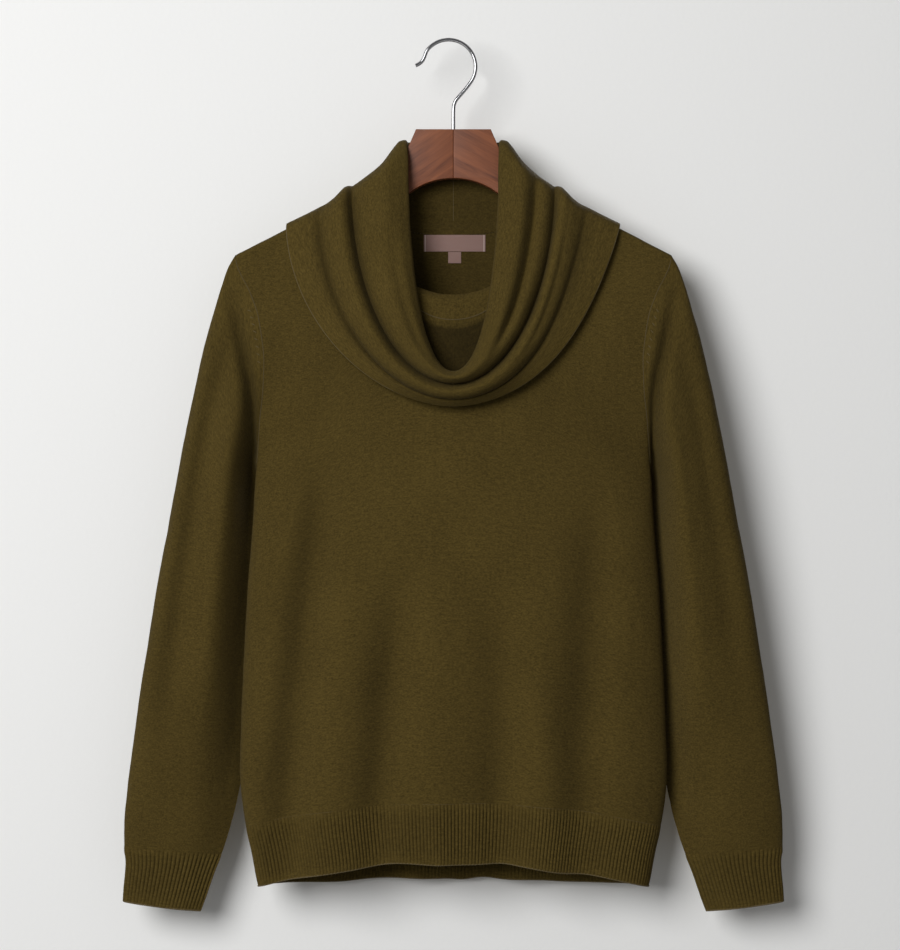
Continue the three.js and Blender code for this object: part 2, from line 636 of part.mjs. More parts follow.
function collarRing(angle, row) {
  const at = Object.fromEntries(Object.entries(collarColumn).map(([name, column]) => [name, column(row)]));
  const [s, c] = [Math.sin(angle), Math.cos(angle)];
  const front = c >= 0;
  const forward = Math.abs(c);
  const corner = 2 / (front ? at.full : 2.4);
  const reach = forward ** corner;
  const endY = front ? at.frontY : at.backY;
  const endZ = front ? at.frontZ : at.backZ;
  const left = 1 - Math.exp(-forward / LEAVE_OVER);
  const leave = Math.sign(endY) * Math.min(at.leave, Math.abs(endY));
  const right = front && s > 0 ? RIGHT_NARROWER * smooth((row - CREST_ROW - 3) / 4) : 0;
  const narrower = right * 4 * reach * (1 - reach);
  return new THREE.Vector3(
    at.sideX * (1 - narrower) * Math.sign(s) * Math.abs(s) ** corner,
    leave * left + (endY - leave) * reach,
    mix(at.sideZ, endZ, reach),
  );
}

const REST_GAP = 1.2; // wide enough for the chords of both walls

// The outer layer rests on the body, so it is held off the panels by a little more than both walls.
function clearOfBody(point, row) {
  const resting = smooth((row - CREST_ROW - 1) / 3);
  if (resting === 0) return point;
  const face = point.y < 0 ? "front" : "back";
  const across = clamp(point.x / halfWidth(point.z), -1, 1);
  const body = Math.abs(bodyPoint(face, across, point.z).y);
  const least = (body + COLLAR_THICKNESS / 2 + REST_GAP) * resting;
  const under = shoulderZ(point.x) - point.z;
  if (under <= 0) return point;
  const short = Math.max(0, least - Math.abs(point.y)) * smooth(under / 3);
  point.y += FACES[face].toward * short;
  return point;
}

function collarPoint(angle, row) {
  return row < 1 ? collarFoot(angle, row) : clearOfBody(collarRing(angle, row), row);
}

const COLLAR_ROWS = [
  ...[0, 0.3, 0.75, 1.2, 2, 3, 4, 5, 6, 7, 7.6, 8.3, 9, 9.8],
  ...[11, 12, 12.7, 13.6, 14.4, 15, 16, LAST_RING],
];

function collar() {
  const middle = COLLAR_ROWS.map((row) => neckAngles.map((angle) => collarPoint(angle, row)));
  const rowAt = (j) => middle[clamp(j, 0, middle.length - 1)];
  const [outer, inner] = [[], []];
  middle.forEach((ring, j) => {
    const pairs = ring.map((point, i) => {
      const around = ring[(i + 1) % NECK_STEPS].clone().sub(ring[(i + NECK_STEPS - 1) % NECK_STEPS]);
      const along = rowAt(j + 1)[i].clone().sub(rowAt(j - 1)[i]);
      const normal = around.cross(along).normalize().multiplyScalar(COLLAR_THICKNESS / 2);
      return [point.clone().add(normal), point.clone().sub(normal)];
    });
    outer.push(pairs.map(([p]) => p));
    inner.push(pairs.map(([, p]) => p));
  });
  return piece("cowl_collar", wall(outer, inner, true), CLOTH);
}

// Labels, sewn inside the back neck

const LABEL_THICKNESS = 0.6;
const LABEL_SIZE = { width: 58.7, height: 16.3 };
const SIZE_TAB = { width: 12.8, height: 10.7 };
const LABEL_TOP_Z = BACK_NECK_Z - 1;

function label(name, { width, height }, topZEdge, columns) {
  const [outer, inner] = [[], []];
  for (const up of [0, 1]) {
    const z = topZEdge - height * (1 - up);
    const pairs = Array.from({ length: columns + 1 }, (_, i) => {
      const x = width * (i / columns - 0.5);
      const [, inside, normal] = bodyWall("back", x / halfWidth(z), z);
      const near = inside.addScaledVector(normal, -SEAM);
      return [near, near.clone().addScaledVector(normal, -LABEL_THICKNESS)];
    });
    outer.push(pairs.map(([p]) => p));
    inner.push(pairs.map(([, p]) => p));
  }
  return piece(name, wall(outer, inner, false), LABEL);
}

// Hanger

const HANGER = { halfThickness: 6.5, bevel: 3, topZ: -84, topHalfWidth: 35.5, joint: 0.15 };
const ARM_GAP = 3.1; // from the shoulder line down to the arm, with the cloth between them
const ARM_END_X = 198;
const ARCH = { apexZ: -130.5, halfWidth: 45, radius: 70 };
const HOOK_RADIUS = 1.8;
const HOOK_HOLE_DEPTH = 16;

const armTopZ = (x) => shoulderZ(x) - ARM_GAP;

function hangerOutline() {
  const shape = new THREE.Shape();
  shape.moveTo(HANGER.joint, HANGER.topZ);
  shape.lineTo(HANGER.topHalfWidth, HANGER.topZ);
  shape.lineTo(45.5, -107);
  shape.bezierCurveTo(52, -116, 68, -135.5, 98, armTopZ(98) - 1);
  shape.lineTo(ARM_END_X - 4, armTopZ(ARM_END_X - 4));
  shape.quadraticCurveTo(ARM_END_X, armTopZ(ARM_END_X), ARM_END_X, armTopZ(ARM_END_X) - 7);
  shape.quadraticCurveTo(ARM_END_X, -217, ARM_END_X - 8, -215);
  shape.bezierCurveTo(150, -200, 80, -168, ARCH.halfWidth, -146);
  const rise = Math.asin(ARCH.halfWidth / ARCH.radius);
  for (let i = 1; i <= 6; i++) {
    const angle = rise * (1 - i / 6);
    const x = Math.max(HANGER.joint, ARCH.radius * Math.sin(angle));
    shape.lineTo(x, ARCH.apexZ - ARCH.radius * (1 - Math.cos(angle)));
  }
  shape.closePath();
  return shape;
}

function toManifold(geometry) {
  const bare = geometry.clone();
  bare.deleteAttribute("normal");
  bare.deleteAttribute("uv");
  const merged = mergeVertices(bare, 1e-4);
  return new wasm.Manifold(
    new wasm.Mesh({
      numProp: 3,
      vertProperties: new Float32Array(merged.attributes.position.array),
      triVerts: new Uint32Array(merged.index.array),
    }),
  );
}

function fromManifold(manifold) {
  const mesh = manifold.getMesh();
  const geometry = new THREE.BufferGeometry();
  geometry.setAttribute("position", new THREE.BufferAttribute(new Float32Array(mesh.vertProperties), 3));
  geometry.setIndex(new THREE.BufferAttribute(new Uint32Array(mesh.triVerts), 1));
  geometry.computeVertexNormals();
  return geometry;
}

// One of the two wooden halves, which meet in the middle and have the hook's hole between them.
function hangerHalf() {
  const body = new THREE.ExtrudeGeometry(hangerOutline(), {
    depth: 2 * (HANGER.halfThickness - HANGER.bevel),
    bevelEnabled: true,
    bevelThickness: HANGER.bevel,
    bevelSize: HANGER.bevel,
    bevelOffset: -HANGER.bevel,
    bevelSegments: 2,
    curveSegments: 6,
  });
  body.translate(0, 0, HANGER.bevel - HANGER.halfThickness);
  body.rotateX(Math.PI / 2);
  const keep = new THREE.BoxGeometry(300, 40, 300).translate(150 + HANGER.joint, 0, -150);
  const hole = new THREE.CylinderGeometry(HOOK_RADIUS + SEAM, HOOK_RADIUS + SEAM, 2 * HOOK_HOLE_DEPTH, 24);
  hole.rotateX(Math.PI / 2).translate(0, 0, HANGER.topZ);
  return fromManifold(toManifold(body).intersect(toManifold(keep)).subtract(toManifold(hole)));
}

const HOOK = { centreX: -CENTRE_X, radius: 25.7 };
HOOK.centreZ = HOOK_RADIUS - HOOK.radius;
HOOK.startAngle = (147 * Math.PI) / 180;
HOOK.endAngle = (-38 * Math.PI) / 180;
const HOOK_TIP = [
  [-35.9, -22.8],
  [-31.5, -21.2],
  [-28, -17],
];
const HOOK_STEM = [
  [9.4, -48],
  [2.8, -54.8],
  [0.5, -59.5],
  [0, -65],
  [0, -72],
  [0, HANGER.topZ - HOOK_HOLE_DEPTH + 2],
];

function hook() {
  const arc = Array.from({ length: 17 }, (_, i) => {
    const angle = mix(HOOK.startAngle, HOOK.endAngle, i / 16);
    return [HOOK.centreX + HOOK.radius * Math.cos(angle), HOOK.centreZ + HOOK.radius * Math.sin(angle)];
  });
  const line = [...HOOK_TIP, ...arc, ...HOOK_STEM].map(([x, z]) => new THREE.Vector3(x, 0, z));
  const section = new THREE.Shape().absarc(0, 0, HOOK_RADIUS, 0, 2 * Math.PI);
  const path = new THREE.CatmullRomCurve3(line, false, "centripetal");
  return new THREE.ExtrudeGeometry(section, { steps: 42, extrudePath: path, curveSegments: 4 });
}

const garment = new THREE.Group();
garment.add(panel("front"), panel("back"), hemBand("front"), hemBand("back"));
const sleeveShape = sleeve();
const cuffShape = cuff();
garment.add(piece("sleeve_right_side", sleeveShape, CLOTH));
garment.add(piece("sleeve_left_side", mirrored(sleeveShape), CLOTH));
garment.add(piece("cuff_right_side", cuffShape, RIB));
garment.add(piece("cuff_left_side", mirrored(cuffShape), RIB));
garment.add(collar());
garment.add(label("neck_label", LABEL_SIZE, LABEL_TOP_Z, 8));
garment.add(label("size_tab", SIZE_TAB, LABEL_TOP_Z - LABEL_SIZE.height - SEAM, 2));

const hanger = new THREE.Group();
const woodHalf = hangerHalf();
hanger.add(piece("hanger_right_half", woodHalf, WOOD), piece("hanger_left_half", mirrored(woodHalf), WOOD));
hanger.add(piece("hanger_hook", hook(), CHROME));

const whole = new THREE.Group();
garment.position.x = CENTRE_X;
hanger.position.x = CENTRE_X;
whole.add(garment, hanger);

export default whole;
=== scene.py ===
# %% [markdown]
# # A cowl-neck sweater on a wooden hanger
#
# This lesson dresses a imported CAD model of a fine-knit pullover. The CAD holds the true walls of the
# garment.
# Here each wall gets its finish: jersey with its stitches, ribs that stand up from the band, seams with their
# thread, a satin label, walnut and chrome. Every piece is worked out from the same named sizes as the CAD, so
# it lies where its solid lies.

# %% Load the frame
import math

import bpy
import numpy as np
from mathutils import Matrix, Vector


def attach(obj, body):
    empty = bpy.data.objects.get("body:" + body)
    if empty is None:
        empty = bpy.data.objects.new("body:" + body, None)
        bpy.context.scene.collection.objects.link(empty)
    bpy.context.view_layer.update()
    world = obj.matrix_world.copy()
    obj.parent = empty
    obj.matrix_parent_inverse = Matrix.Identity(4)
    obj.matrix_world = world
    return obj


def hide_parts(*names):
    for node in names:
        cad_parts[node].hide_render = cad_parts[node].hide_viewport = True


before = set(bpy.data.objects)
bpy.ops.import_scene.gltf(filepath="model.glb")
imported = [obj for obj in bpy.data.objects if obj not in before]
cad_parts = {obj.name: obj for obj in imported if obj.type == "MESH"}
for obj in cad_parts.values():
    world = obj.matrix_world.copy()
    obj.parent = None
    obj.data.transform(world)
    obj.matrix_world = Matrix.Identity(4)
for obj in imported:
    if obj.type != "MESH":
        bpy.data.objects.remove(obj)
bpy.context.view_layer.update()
MM = 0.001
print("nodes:", ", ".join(sorted(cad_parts)))

# %% [markdown]
# ## Camera, wall and light
#
# The garment hangs close to a pale wall and is seen straight on from far away, so the camera has a long lens
# and no tilt. A wall and a floor that only show their front sides let the same set be looked at from behind.
# One large soft light stands in front on the left, a second one lights the back, and the world fills the
# shadows from all round.

# %% Camera
VIEW_CENTRE = (1.3 * MM, -411.8 * MM)
VIEW_HEIGHT = 902.5 * MM
VIEW_DISTANCE = 2.6
SENSOR = 36.0

camera_data = bpy.data.cameras.new("photo_camera")
camera_data.sensor_width = SENSOR
camera_data.lens = SENSOR * VIEW_DISTANCE / VIEW_HEIGHT
camera = bpy.data.objects.new("photo_camera", camera_data)
camera.location = (VIEW_CENTRE[0], -VIEW_DISTANCE, VIEW_CENTRE[1])
camera.rotation_euler = (math.radians(90), 0, 0)
bpy.context.scene.collection.objects.link(camera)
bpy.context.scene.camera = camera
bpy.context.scene.view_settings.view_transform = "Standard"
print("lens", round(camera_data.lens, 1), "mm")


# %% Node helpers
def put(tree, socket, value):
    """Sets a socket to a number or colour, or links it to another node's output."""
    if isinstance(value, bpy.types.NodeSocket):
        tree.links.new(value, socket)
    else:
        socket.default_value = value


def fill(node, **inputs):
    """Sets or links a node's inputs, whose names have _ for a blank."""
    for name, value in inputs.items():
        put(node.id_data, node.inputs[name.replace("_", " ")], value)


def add(tree, kind, settings=None, **inputs):
    """A new node with its settings and inputs."""
    made = tree.nodes.new(kind)
    for name, value in (settings or {}).items():
        setattr(made, name, value)
    fill(made, **inputs)
    return made


def calc(tree, operation, *values):
    """The result of a Math node."""
    made = add(tree, "ShaderNodeMath", {"operation": operation})
    for socket, value in zip(made.inputs, values):
        put(tree, socket, value)
    return made.outputs[0]


def vary(tree, total, fraction, amount):
    """A total with a number between 0 and 1 added to it, spread evenly above and below."""
    return calc(tree, "ADD", total, calc(tree, "MULTIPLY", calc(tree, "SUBTRACT", fraction, 0.5), amount))


def blend_colour(tree, share, low, high):
    """A colour between two others."""
    made = add(tree, "ShaderNodeMix", {"data_type": "RGBA"})
    put(tree, made.inputs["Factor"], share)
    put(tree, made.inputs[6], low)
    put(tree, made.inputs[7], high)
    return made.outputs[2]


# %% Objects, materials and groups
def link(name, data):
    """A new object in the scene around a mesh, a curve, a light or a camera."""
    made = bpy.data.objects.new(name, data)
    bpy.context.scene.collection.objects.link(made)
    return made


def object_place(tree):
    """The place of a shaded point in its object's own axes."""
    return add(tree, "ShaderNodeTexCoord").outputs["Object"]


def group(name, inputs, outputs):
    """A shader node group with number or colour inputs and their starting values."""
    tree = bpy.data.node_groups.new(name, "ShaderNodeTree")
    for label, value in inputs.items():
        kind = "NodeSocketFloat" if isinstance(value, (int, float)) else "NodeSocketColor"
        made = tree.interface.new_socket(label, in_out="INPUT", socket_type=kind)
        made.default_value = value
    for label, kind in outputs.items():
        tree.interface.new_socket(label, in_out="OUTPUT", socket_type=kind)
    source = tree.nodes.new("NodeGroupInput").outputs
    target = tree.nodes.new("NodeGroupOutput").inputs
    return tree, source, target


def material(name):
    """A new material, its tree and its Principled shader."""
    made = bpy.data.materials.new(name)
    made.use_nodes = True
    return made, made.node_tree, made.node_tree.nodes["Principled BSDF"]


def bump(tree, shader, height, distance):
    """Turns the shader's normal by a height between 0 and 1, at full height the distance in metres."""
    made = add(tree, "ShaderNodeBump", Strength=1.0, Distance=distance, Height=height)
    fill(shader, Normal=made.outputs["Normal"])


# %% Wall and floor that vanish from behind
WALL_Y = 47 * MM
FLOOR_Z = -1.3
WALL_COLOUR = (0.82, 0.82, 0.81, 1)


def one_sided(name):
    """Paint that is clear when it is seen from behind."""
    made, tree, shader = material(name)
    fill(shader, Base_Color=WALL_COLOUR, Roughness=0.9)
    plaster = add(tree, "ShaderNodeTexNoise", Vector=object_place(tree), Scale=260.0, Detail=4.0)
    bump(tree, shader, plaster.outputs["Fac"], 0.0002)
    clear = add(tree, "ShaderNodeBsdfTransparent")
    mixed = add(tree, "ShaderNodeMixShader")
    tree.links.new(add(tree, "ShaderNodeNewGeometry").outputs["Backfacing"], mixed.inputs[0])
    tree.links.new(shader.outputs[0], mixed.inputs[1])
    tree.links.new(clear.outputs[0], mixed.inputs[2])
    tree.links.new(mixed.outputs[0], tree.nodes["Material Output"].inputs["Surface"])
    return made


def backdrop(name, first_edge, second_edge, paint):
    """A wide plane between two edges along X, each given by its Y and Z."""
    corners = [(-SIDE, *first_edge), (SIDE, *first_edge), (SIDE, *second_edge), (-SIDE, *second_edge)]
    mesh = bpy.data.meshes.new(name)
    mesh.from_pydata(corners, [], [range(4)])
    mesh.materials.append(paint)
    made = link(name, mesh)
    made.visible_shadow = False
    made.visible_diffuse = False
    print(name, "stands from", first_edge, "to", second_edge)


SIDE, HIGH, NEAR = 5.0, 2.6, -6.0
pale_paint = one_sided("pale_paint")
backdrop("wall", (WALL_Y, FLOOR_Z), (WALL_Y, HIGH), pale_paint)
backdrop("floor", (NEAR, FLOOR_Z), (WALL_Y, FLOOR_Z), pale_paint)

# %% Lights
GARMENT_CENTRE = Vector((0, 0, -0.42))


def soft_light(name, place, width, watts):
    """A round area light that looks at the garment."""
    data = bpy.data.lights.new(name, "AREA")
    data.shape = "DISK"
    data.size = width
    data.energy = watts
    made = link(name, data)
    made.location = place
    made.rotation_euler = (GARMENT_CENTRE - Vector(place)).to_track_quat("-Z", "Y").to_euler()
    print(name, "light:", watts, "W at", place)


soft_light("key", (-1.6, -2.85, 0.55), 2.0, 107)
soft_light("behind", (0.6, 2.4, 0.8), 1.6, 45)

world = bpy.data.worlds.new("studio")
world.use_nodes = True
bpy.context.scene.world = world
sky = world.node_tree
sides = add(sky, "ShaderNodeSeparateXYZ", Vector=add(sky, "ShaderNodeTexCoord").outputs["Generated"])
toward_light = calc(sky, "MULTIPLY_ADD", sides.outputs["X"], -0.3, 0.5)
toward_light = calc(sky, "MULTIPLY_ADD", sides.outputs["Z"], 0.2, toward_light)
ramp = add(sky, "ShaderNodeValToRGB", Fac=toward_light)
for element, step in zip(ramp.color_ramp.elements, ((0.1, (0.85, 0.85, 0.86, 1)), (0.9, (1, 1, 0.98, 1)))):
    element.position, element.color = step
fill(sky.nodes["Background"], Color=ramp.outputs[0], Strength=0.25)

# %% [markdown]
# ## Curves through short tables
#
# A garment's outline is a handful of measured widths. A smooth curve that never overshoots is laid through
# each column of such a table, and every surface below is a formula on these curves. The tables are the CAD's
# own, in millimetres.


# %% Tables and smooth curves
def table(columns, *rows):
    """Rows of numbers with the names of their columns."""
    names = columns.split()
    return [dict(zip(names, row)) for row in rows]


def through(rows, key, column):
    """A smooth function through a table's column, which never overshoots between two rows."""
    rows = sorted(rows, key=lambda row: row[key])
    xs = np.array([row[key] for row in rows], float)
    ys = np.array([row[column] for row in rows], float)
    rises = np.diff(ys) / np.diff(xs)
    before, after = rises[:-1], rises[1:]
    same_way = before * after > 0
    total = np.where(same_way, before + after, 1)
    inner = np.where(same_way, 2 * before * after / total, 0)
    slopes = np.concatenate([rises[:1], inner, rises[-1:]])

    def value(at):
        at = np.clip(at, xs[0], xs[-1])
        i = np.clip(np.searchsorted(xs, at, side="right") - 1, 0, len(xs) - 2)
        width = xs[i + 1] - xs[i]
        t = (at - xs[i]) / width
        rest = 1 - t
        ends = ys[i] * (1 + 2 * t) * rest**2 + ys[i + 1] * (3 - 2 * t) * t**2
        return ends + width * (slopes[i] * t * rest**2 - slopes[i + 1] * t**2 * rest)

    return value


def mix(low, high, share):
    return low + (high - low) * share


def unit(vectors):
    """Directions of length 1."""
    return vectors / np.linalg.norm(vectors, axis=-1, keepdims=True)


def outward(first, second, toward):
    """The unit normal of two directions, on the side to which Y goes with toward, -1 or 1."""
    normal = unit(np.cross(first, second))
    return normal * np.where(normal[..., 1:2] * toward < 0, -1, 1)


def smooth(value):
    """0 below 0, 1 above 1, and a soft step between them."""
    s = np.clip(value, 0, 1)
    return s * s * (3 - 2 * s)


def between(value, rise_from, rise, fall_from, fall):
    """0, then softly up to 1, and softly back to 0 further on."""
    return smooth((value - rise_from) / rise) * (1 - smooth((value - fall_from) / fall))


def bell(distance, width):
    """1 at no distance, falling softly to nothing at about twice the width."""
    return np.exp(-((distance / width) ** 2))


def points(x, y, z):
    """Points from their three coordinates, the last axis being X, Y and Z."""
    return np.stack(np.broadcast_arrays(x, y, z), axis=-1).astype(float)


# %% [markdown]
# ## From a grid of points to cloth
#
# Each piece of cloth is a grid of points on its outer side. The grid becomes a mesh with a UV map that
# measures the cloth in metres along its courses and wales, so that stitches keep their size wherever the
# cloth bends. Solidify then gives it its thickness, and small waves keep it from looking ironed. Numbers that
# belong to the points, such as the count of rib columns, travel along as attributes.

# %% Grid meshes
CLOTH_UV = "cloth"
RIM_ANGLE = 55


def lengths(grid, axis):
    """Running length along rows (axis 1) or columns (axis 0), from 0."""
    steps = np.linalg.norm(np.diff(grid, axis=axis), axis=-1)
    start = np.zeros_like(np.take(steps, [0], axis=axis))
    return np.concatenate([start, np.cumsum(steps, axis=axis)], axis=axis)


def cloth_grid(name, grid, closed=False, extra=None):
    """A mesh over a grid of points in millimetres, rows by columns. Rows run down the cloth."""
    rows, columns = grid.shape[:2]
    whole = np.concatenate([grid, grid[:, :1]], axis=1) if closed else grid
    along = lengths(whole, 1)
    up = lengths(whole[::-1], 0)[::-1]
    if closed:
        along = along * (along[:, -1].mean() / along[:, -1:])
        up = np.broadcast_to(up.mean(axis=1, keepdims=True), up.shape)
    else:
        along = along - along[:, -1:] / 2
    j, i = np.meshgrid(np.arange(rows - 1), np.arange(whole.shape[1] - 1), indexing="ij")
    corners = np.stack([(j, i), (j + 1, i), (j + 1, i + 1), (j, i + 1)])
    vertex = corners[:, 0] * columns + corners[:, 1] % columns
    faces = vertex.transpose(1, 2, 0).reshape(-1, 4)
    mesh = bpy.data.meshes.new(name)
    mesh.from_pydata((grid.reshape(-1, 3) * MM).tolist(), [], faces.tolist())
    uv = np.stack([along, up], axis=-1)[corners[:, 0], corners[:, 1]]
    uv = uv.transpose(1, 2, 0, 3).reshape(-1, 2) * MM
    mesh.uv_layers.new(name=CLOTH_UV).data.foreach_set("uv", uv.ravel())
    for label, values in (extra or {}).items():
        layer = mesh.attributes.new(label, "FLOAT", "POINT")
        layer.data.foreach_set("value", np.broadcast_to(values, (rows, columns)).ravel())
    mesh.shade_smooth()
    return link(name, mesh)


def faces_out(piece, inside):
    """Turns all faces if most of them look toward a point inside."""
    mesh = piece.data
    centres = np.empty(len(mesh.polygons) * 3)
    normals = np.empty(len(mesh.polygons) * 3)
    mesh.polygons.foreach_get("center", centres)
    mesh.polygons.foreach_get("normal", normals)
    away = centres.reshape(-1, 3) - np.asarray(inside) * MM
    if (away * normals.reshape(-1, 3)).sum(axis=1).mean() < 0:
        mesh.flip_normals()


# %% Waves and thickness
def waved(piece, strength, size):
    """Small uneven waves of the cloth, as a Displace modifier with a cloud pattern. Both are millimetres."""
    clouds = bpy.data.textures.new(piece.name + "_waves", "CLOUDS")
    clouds.noise_scale = size * MM
    clouds.noise_depth = 2
    modifier = piece.modifiers.new("waves", "DISPLACE")
    modifier.texture = clouds
    modifier.texture_coords = "LOCAL"
    modifier.strength = strength * MM
    modifier.mid_level = 0.5


def thick(piece, thickness, offset=-1.0, shares=None):
    """Gives a cloth its thickness. Shares between 0 and 1 thin it at chosen points of its grid."""
    modifier = piece.modifiers.new("thickness", "SOLIDIFY")
    modifier.thickness = thickness * MM
    modifier.offset = offset
    if shares is None:
        return
    wall = piece.vertex_groups.new(name="wall")
    for index, share in enumerate(shares.ravel()):
        wall.add([index], float(share), "REPLACE")
    modifier.vertex_group = "wall"
    modifier.thickness_vertex_group = 0.0


# %% Plain meshes, and hanging finished pieces on the root
def plain_mesh(thing):
    """The mesh that an object's modifiers or its curve make."""
    graph = bpy.context.evaluated_depsgraph_get()
    seen = thing.evaluated_get(graph)
    return bpy.data.meshes.new_from_object(seen, preserve_all_data_layers=True, depsgraph=graph)


def made_plain(piece, cloth=None):
    """Replaces a piece's mesh by its evaluated one, removes the modifiers and gives it its cloth."""
    mesh = plain_mesh(piece)
    piece.modifiers.clear()
    piece.data = mesh
    mesh.shade_smooth()
    mesh.set_sharp_from_angle(angle=math.radians(RIM_ANGLE))
    if cloth:
        mesh.materials.append(cloth)


def mesh_of_curve(name, curve):
    """The mesh of a curve, which itself isn't kept."""
    line = link(name, curve)
    mesh = plain_mesh(line)
    bpy.data.objects.remove(line)
    return mesh


def declare(piece, nodes):
    """Hangs a finished piece on the root, hides the given CAD nodes and prints its count of faces."""
    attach(piece, "root")
    if nodes:
        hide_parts(*nodes)
    print(piece.name, len(piece.data.polygons), "faces")


# %% [markdown]
# ## Knit, as one shader group
#
# Jersey seen close up is rows of small V shapes, and its yarn is spun from darker and lighter fibres. The
# group below works on the cloth's UV map in metres. It puts out a colour that wanders between the two fibres
# and a height for the bump, so the body and the ribs share one yarn. Where little light gets in, in creases,
# under the arms and inside the neck, a point attribute paints shade into the colour, taking it toward a dark
# one. This is painted shade, not a colour of the yarn.

# %% Knit group
knit, source, target = group(
    "knit",
    {
        "Wale Width": 0.0017,
        "Course Height": 0.0013,
        "Light Fibre": (0.1, 0.07, 0.02, 1),
        "Dark Fibre": (0.04, 0.028, 0.007, 1),
    },
    {"Colour": "NodeSocketColor", "Height": "NodeSocketFloat"},
)
# Painted shade: the dark colour that the yarn is taken toward in creases, the pocket, under the arms and
# inside the neck.
PAINTED_SHADE_COLOUR = (0.004, 0.0025, 0.0005, 1)


def knit_calc(operation, *values):
    return calc(knit, operation, *values)


def fibre_noise(across_scale, up_scale, detail, offset):
    """Noise on the cloth, with its scales per metre across and up."""
    place = add(knit, "ShaderNodeMapping", Vector=uv)
    fill(place, Scale=(across_scale, up_scale, 1), Location=(offset, offset, offset))
    return add(
        knit, "ShaderNodeTexNoise", Vector=place.outputs[0], Scale=1.0, Detail=detail, Roughness=0.6
    ).outputs["Fac"]


uv = add(knit, "ShaderNodeUVMap", {"uv_map": CLOTH_UV}).outputs["UV"]
split = add(knit, "ShaderNodeSeparateXYZ", Vector=uv)
wale = knit_calc("DIVIDE", split.outputs[0], source["Wale Width"])
from_middle = knit_calc("ABSOLUTE", knit_calc("SUBTRACT", knit_calc("FRACT", wale), 0.5))
leg = knit_calc("ABSOLUTE", knit_calc("SUBTRACT", from_middle, 0.25))
leg = knit_calc("SUBTRACT", 1.0, knit_calc("POWER", knit_calc("MULTIPLY", leg, 4.0), 2.0))
course = knit_calc("DIVIDE", split.outputs[1], source["Course Height"])
course = knit_calc("FRACT", knit_calc("MULTIPLY_ADD", from_middle, -1.3, course))
loop = knit_calc("POWER", knit_calc("SUBTRACT", knit_calc("MULTIPLY", course, 2.0), 1.0), 2.0)
loop = knit_calc("MULTIPLY_ADD", loop, -0.75, 1.0)
stitch = knit_calc("MULTIPLY", leg, loop)

flecks = fibre_noise(430, 700, 2.0, 3.0)
heather = fibre_noise(150, 330, 3.0, 11.0)
broad = fibre_noise(22, 12, 2.0, 23.0)
hair = fibre_noise(2200, 2200, 2.0, 5.0)
share = 0.45
for pattern, amount in ((flecks, 1.2), (heather, 0.8), (broad, 0.35), (stitch, 0.3)):
    share = vary(knit, share, pattern, amount)
limited = add(knit, "ShaderNodeClamp", Value=share)
yarn_colour = blend_colour(knit, limited.outputs[0], source["Dark Fibre"], source["Light Fibre"])
# Painted shade: a point attribute darkens the yarn where light hardly reaches.
painted_shade = add(knit, "ShaderNodeAttribute", {"attribute_name": "painted_shade"}).outputs["Fac"]
knit.links.new(blend_colour(knit, painted_shade, yarn_colour, PAINTED_SHADE_COLOUR), target["Colour"])
height = stitch
for pattern in (hair, flecks):
    height = knit_calc("ADD", height, knit_calc("MULTIPLY", pattern, 0.5))
knit.links.new(height, target["Height"])
print("knit group:", len(knit.nodes), "nodes")

# %% Jersey and rib
LIGHT_FIBRE = (0.113, 0.0765, 0.0175, 1)
DARK_FIBRE = (0.037, 0.0245, 0.0047, 1)


def dimmed(colour, shade):
    """A colour made darker by a factor."""
    return tuple(part * shade for part in colour[:3]) + (1,)


def knit_material(name, wale_width, course_height, bump_height, shade=1.0):
    """Knit of the olive yarn. A shade below 1 makes both of its fibres darker."""
    made, tree, shader = material(name)
    yarn = add(
        tree, "ShaderNodeGroup", {"node_tree": knit}, Wale_Width=wale_width, Course_Height=course_height,
        Light_Fibre=dimmed(LIGHT_FIBRE, shade), Dark_Fibre=dimmed(DARK_FIBRE, shade),
    )
    fill(shader, Base_Color=yarn.outputs["Colour"], Roughness=0.92, Specular_IOR_Level=0.1)
    fill(shader, Sheen_Weight=0.03, Sheen_Roughness=0.45, Sheen_Tint=(0.75, 0.66, 0.42, 1))
    bump(tree, shader, yarn.outputs["Height"], bump_height)
    return made


jersey = knit_material("olive_jersey", 0.0016, 0.0012, 0.00022)
rib_knit = knit_material("olive_rib", 0.0017, 0.0013, 0.00016, shade=0.97)

# %% [markdown]
# ## The body
#
# Front and back hang from the hanger's arm like cloth over a rounded rail, fill out below it, and close round
# at the sides. Soft upright folds fade out toward the chest. Both panels share one formula with their own
# depths, so the side seams meet.

# %% Sizes of the body, in millimetres
CENTRE_X = 4.5
WALL = 2.0
SEAM = 0.3
NECK_HALF_WIDTH = 95
NECK_Z = -145
SHOULDER_SLOPE = 0.52
SADDLE = 9
TIP_Z = NECK_Z - (206.5 - NECK_HALF_WIDTH) * SHOULDER_SLOPE
UNDERARM_Z = -400
HEM_CORNER_Z = -801
HEM_CORNER_X = 185
HEM_HEIGHT = 57
FOLD_FADE = 170
FOLD_GAIN = 1.75
FILL_START, FILL_LENGTH = 6, 170
UNDERARM_FADE = 170
CHEST_POWER, WAIST_POWER, HEM_POWER = 2.4, 4.5, 2.2

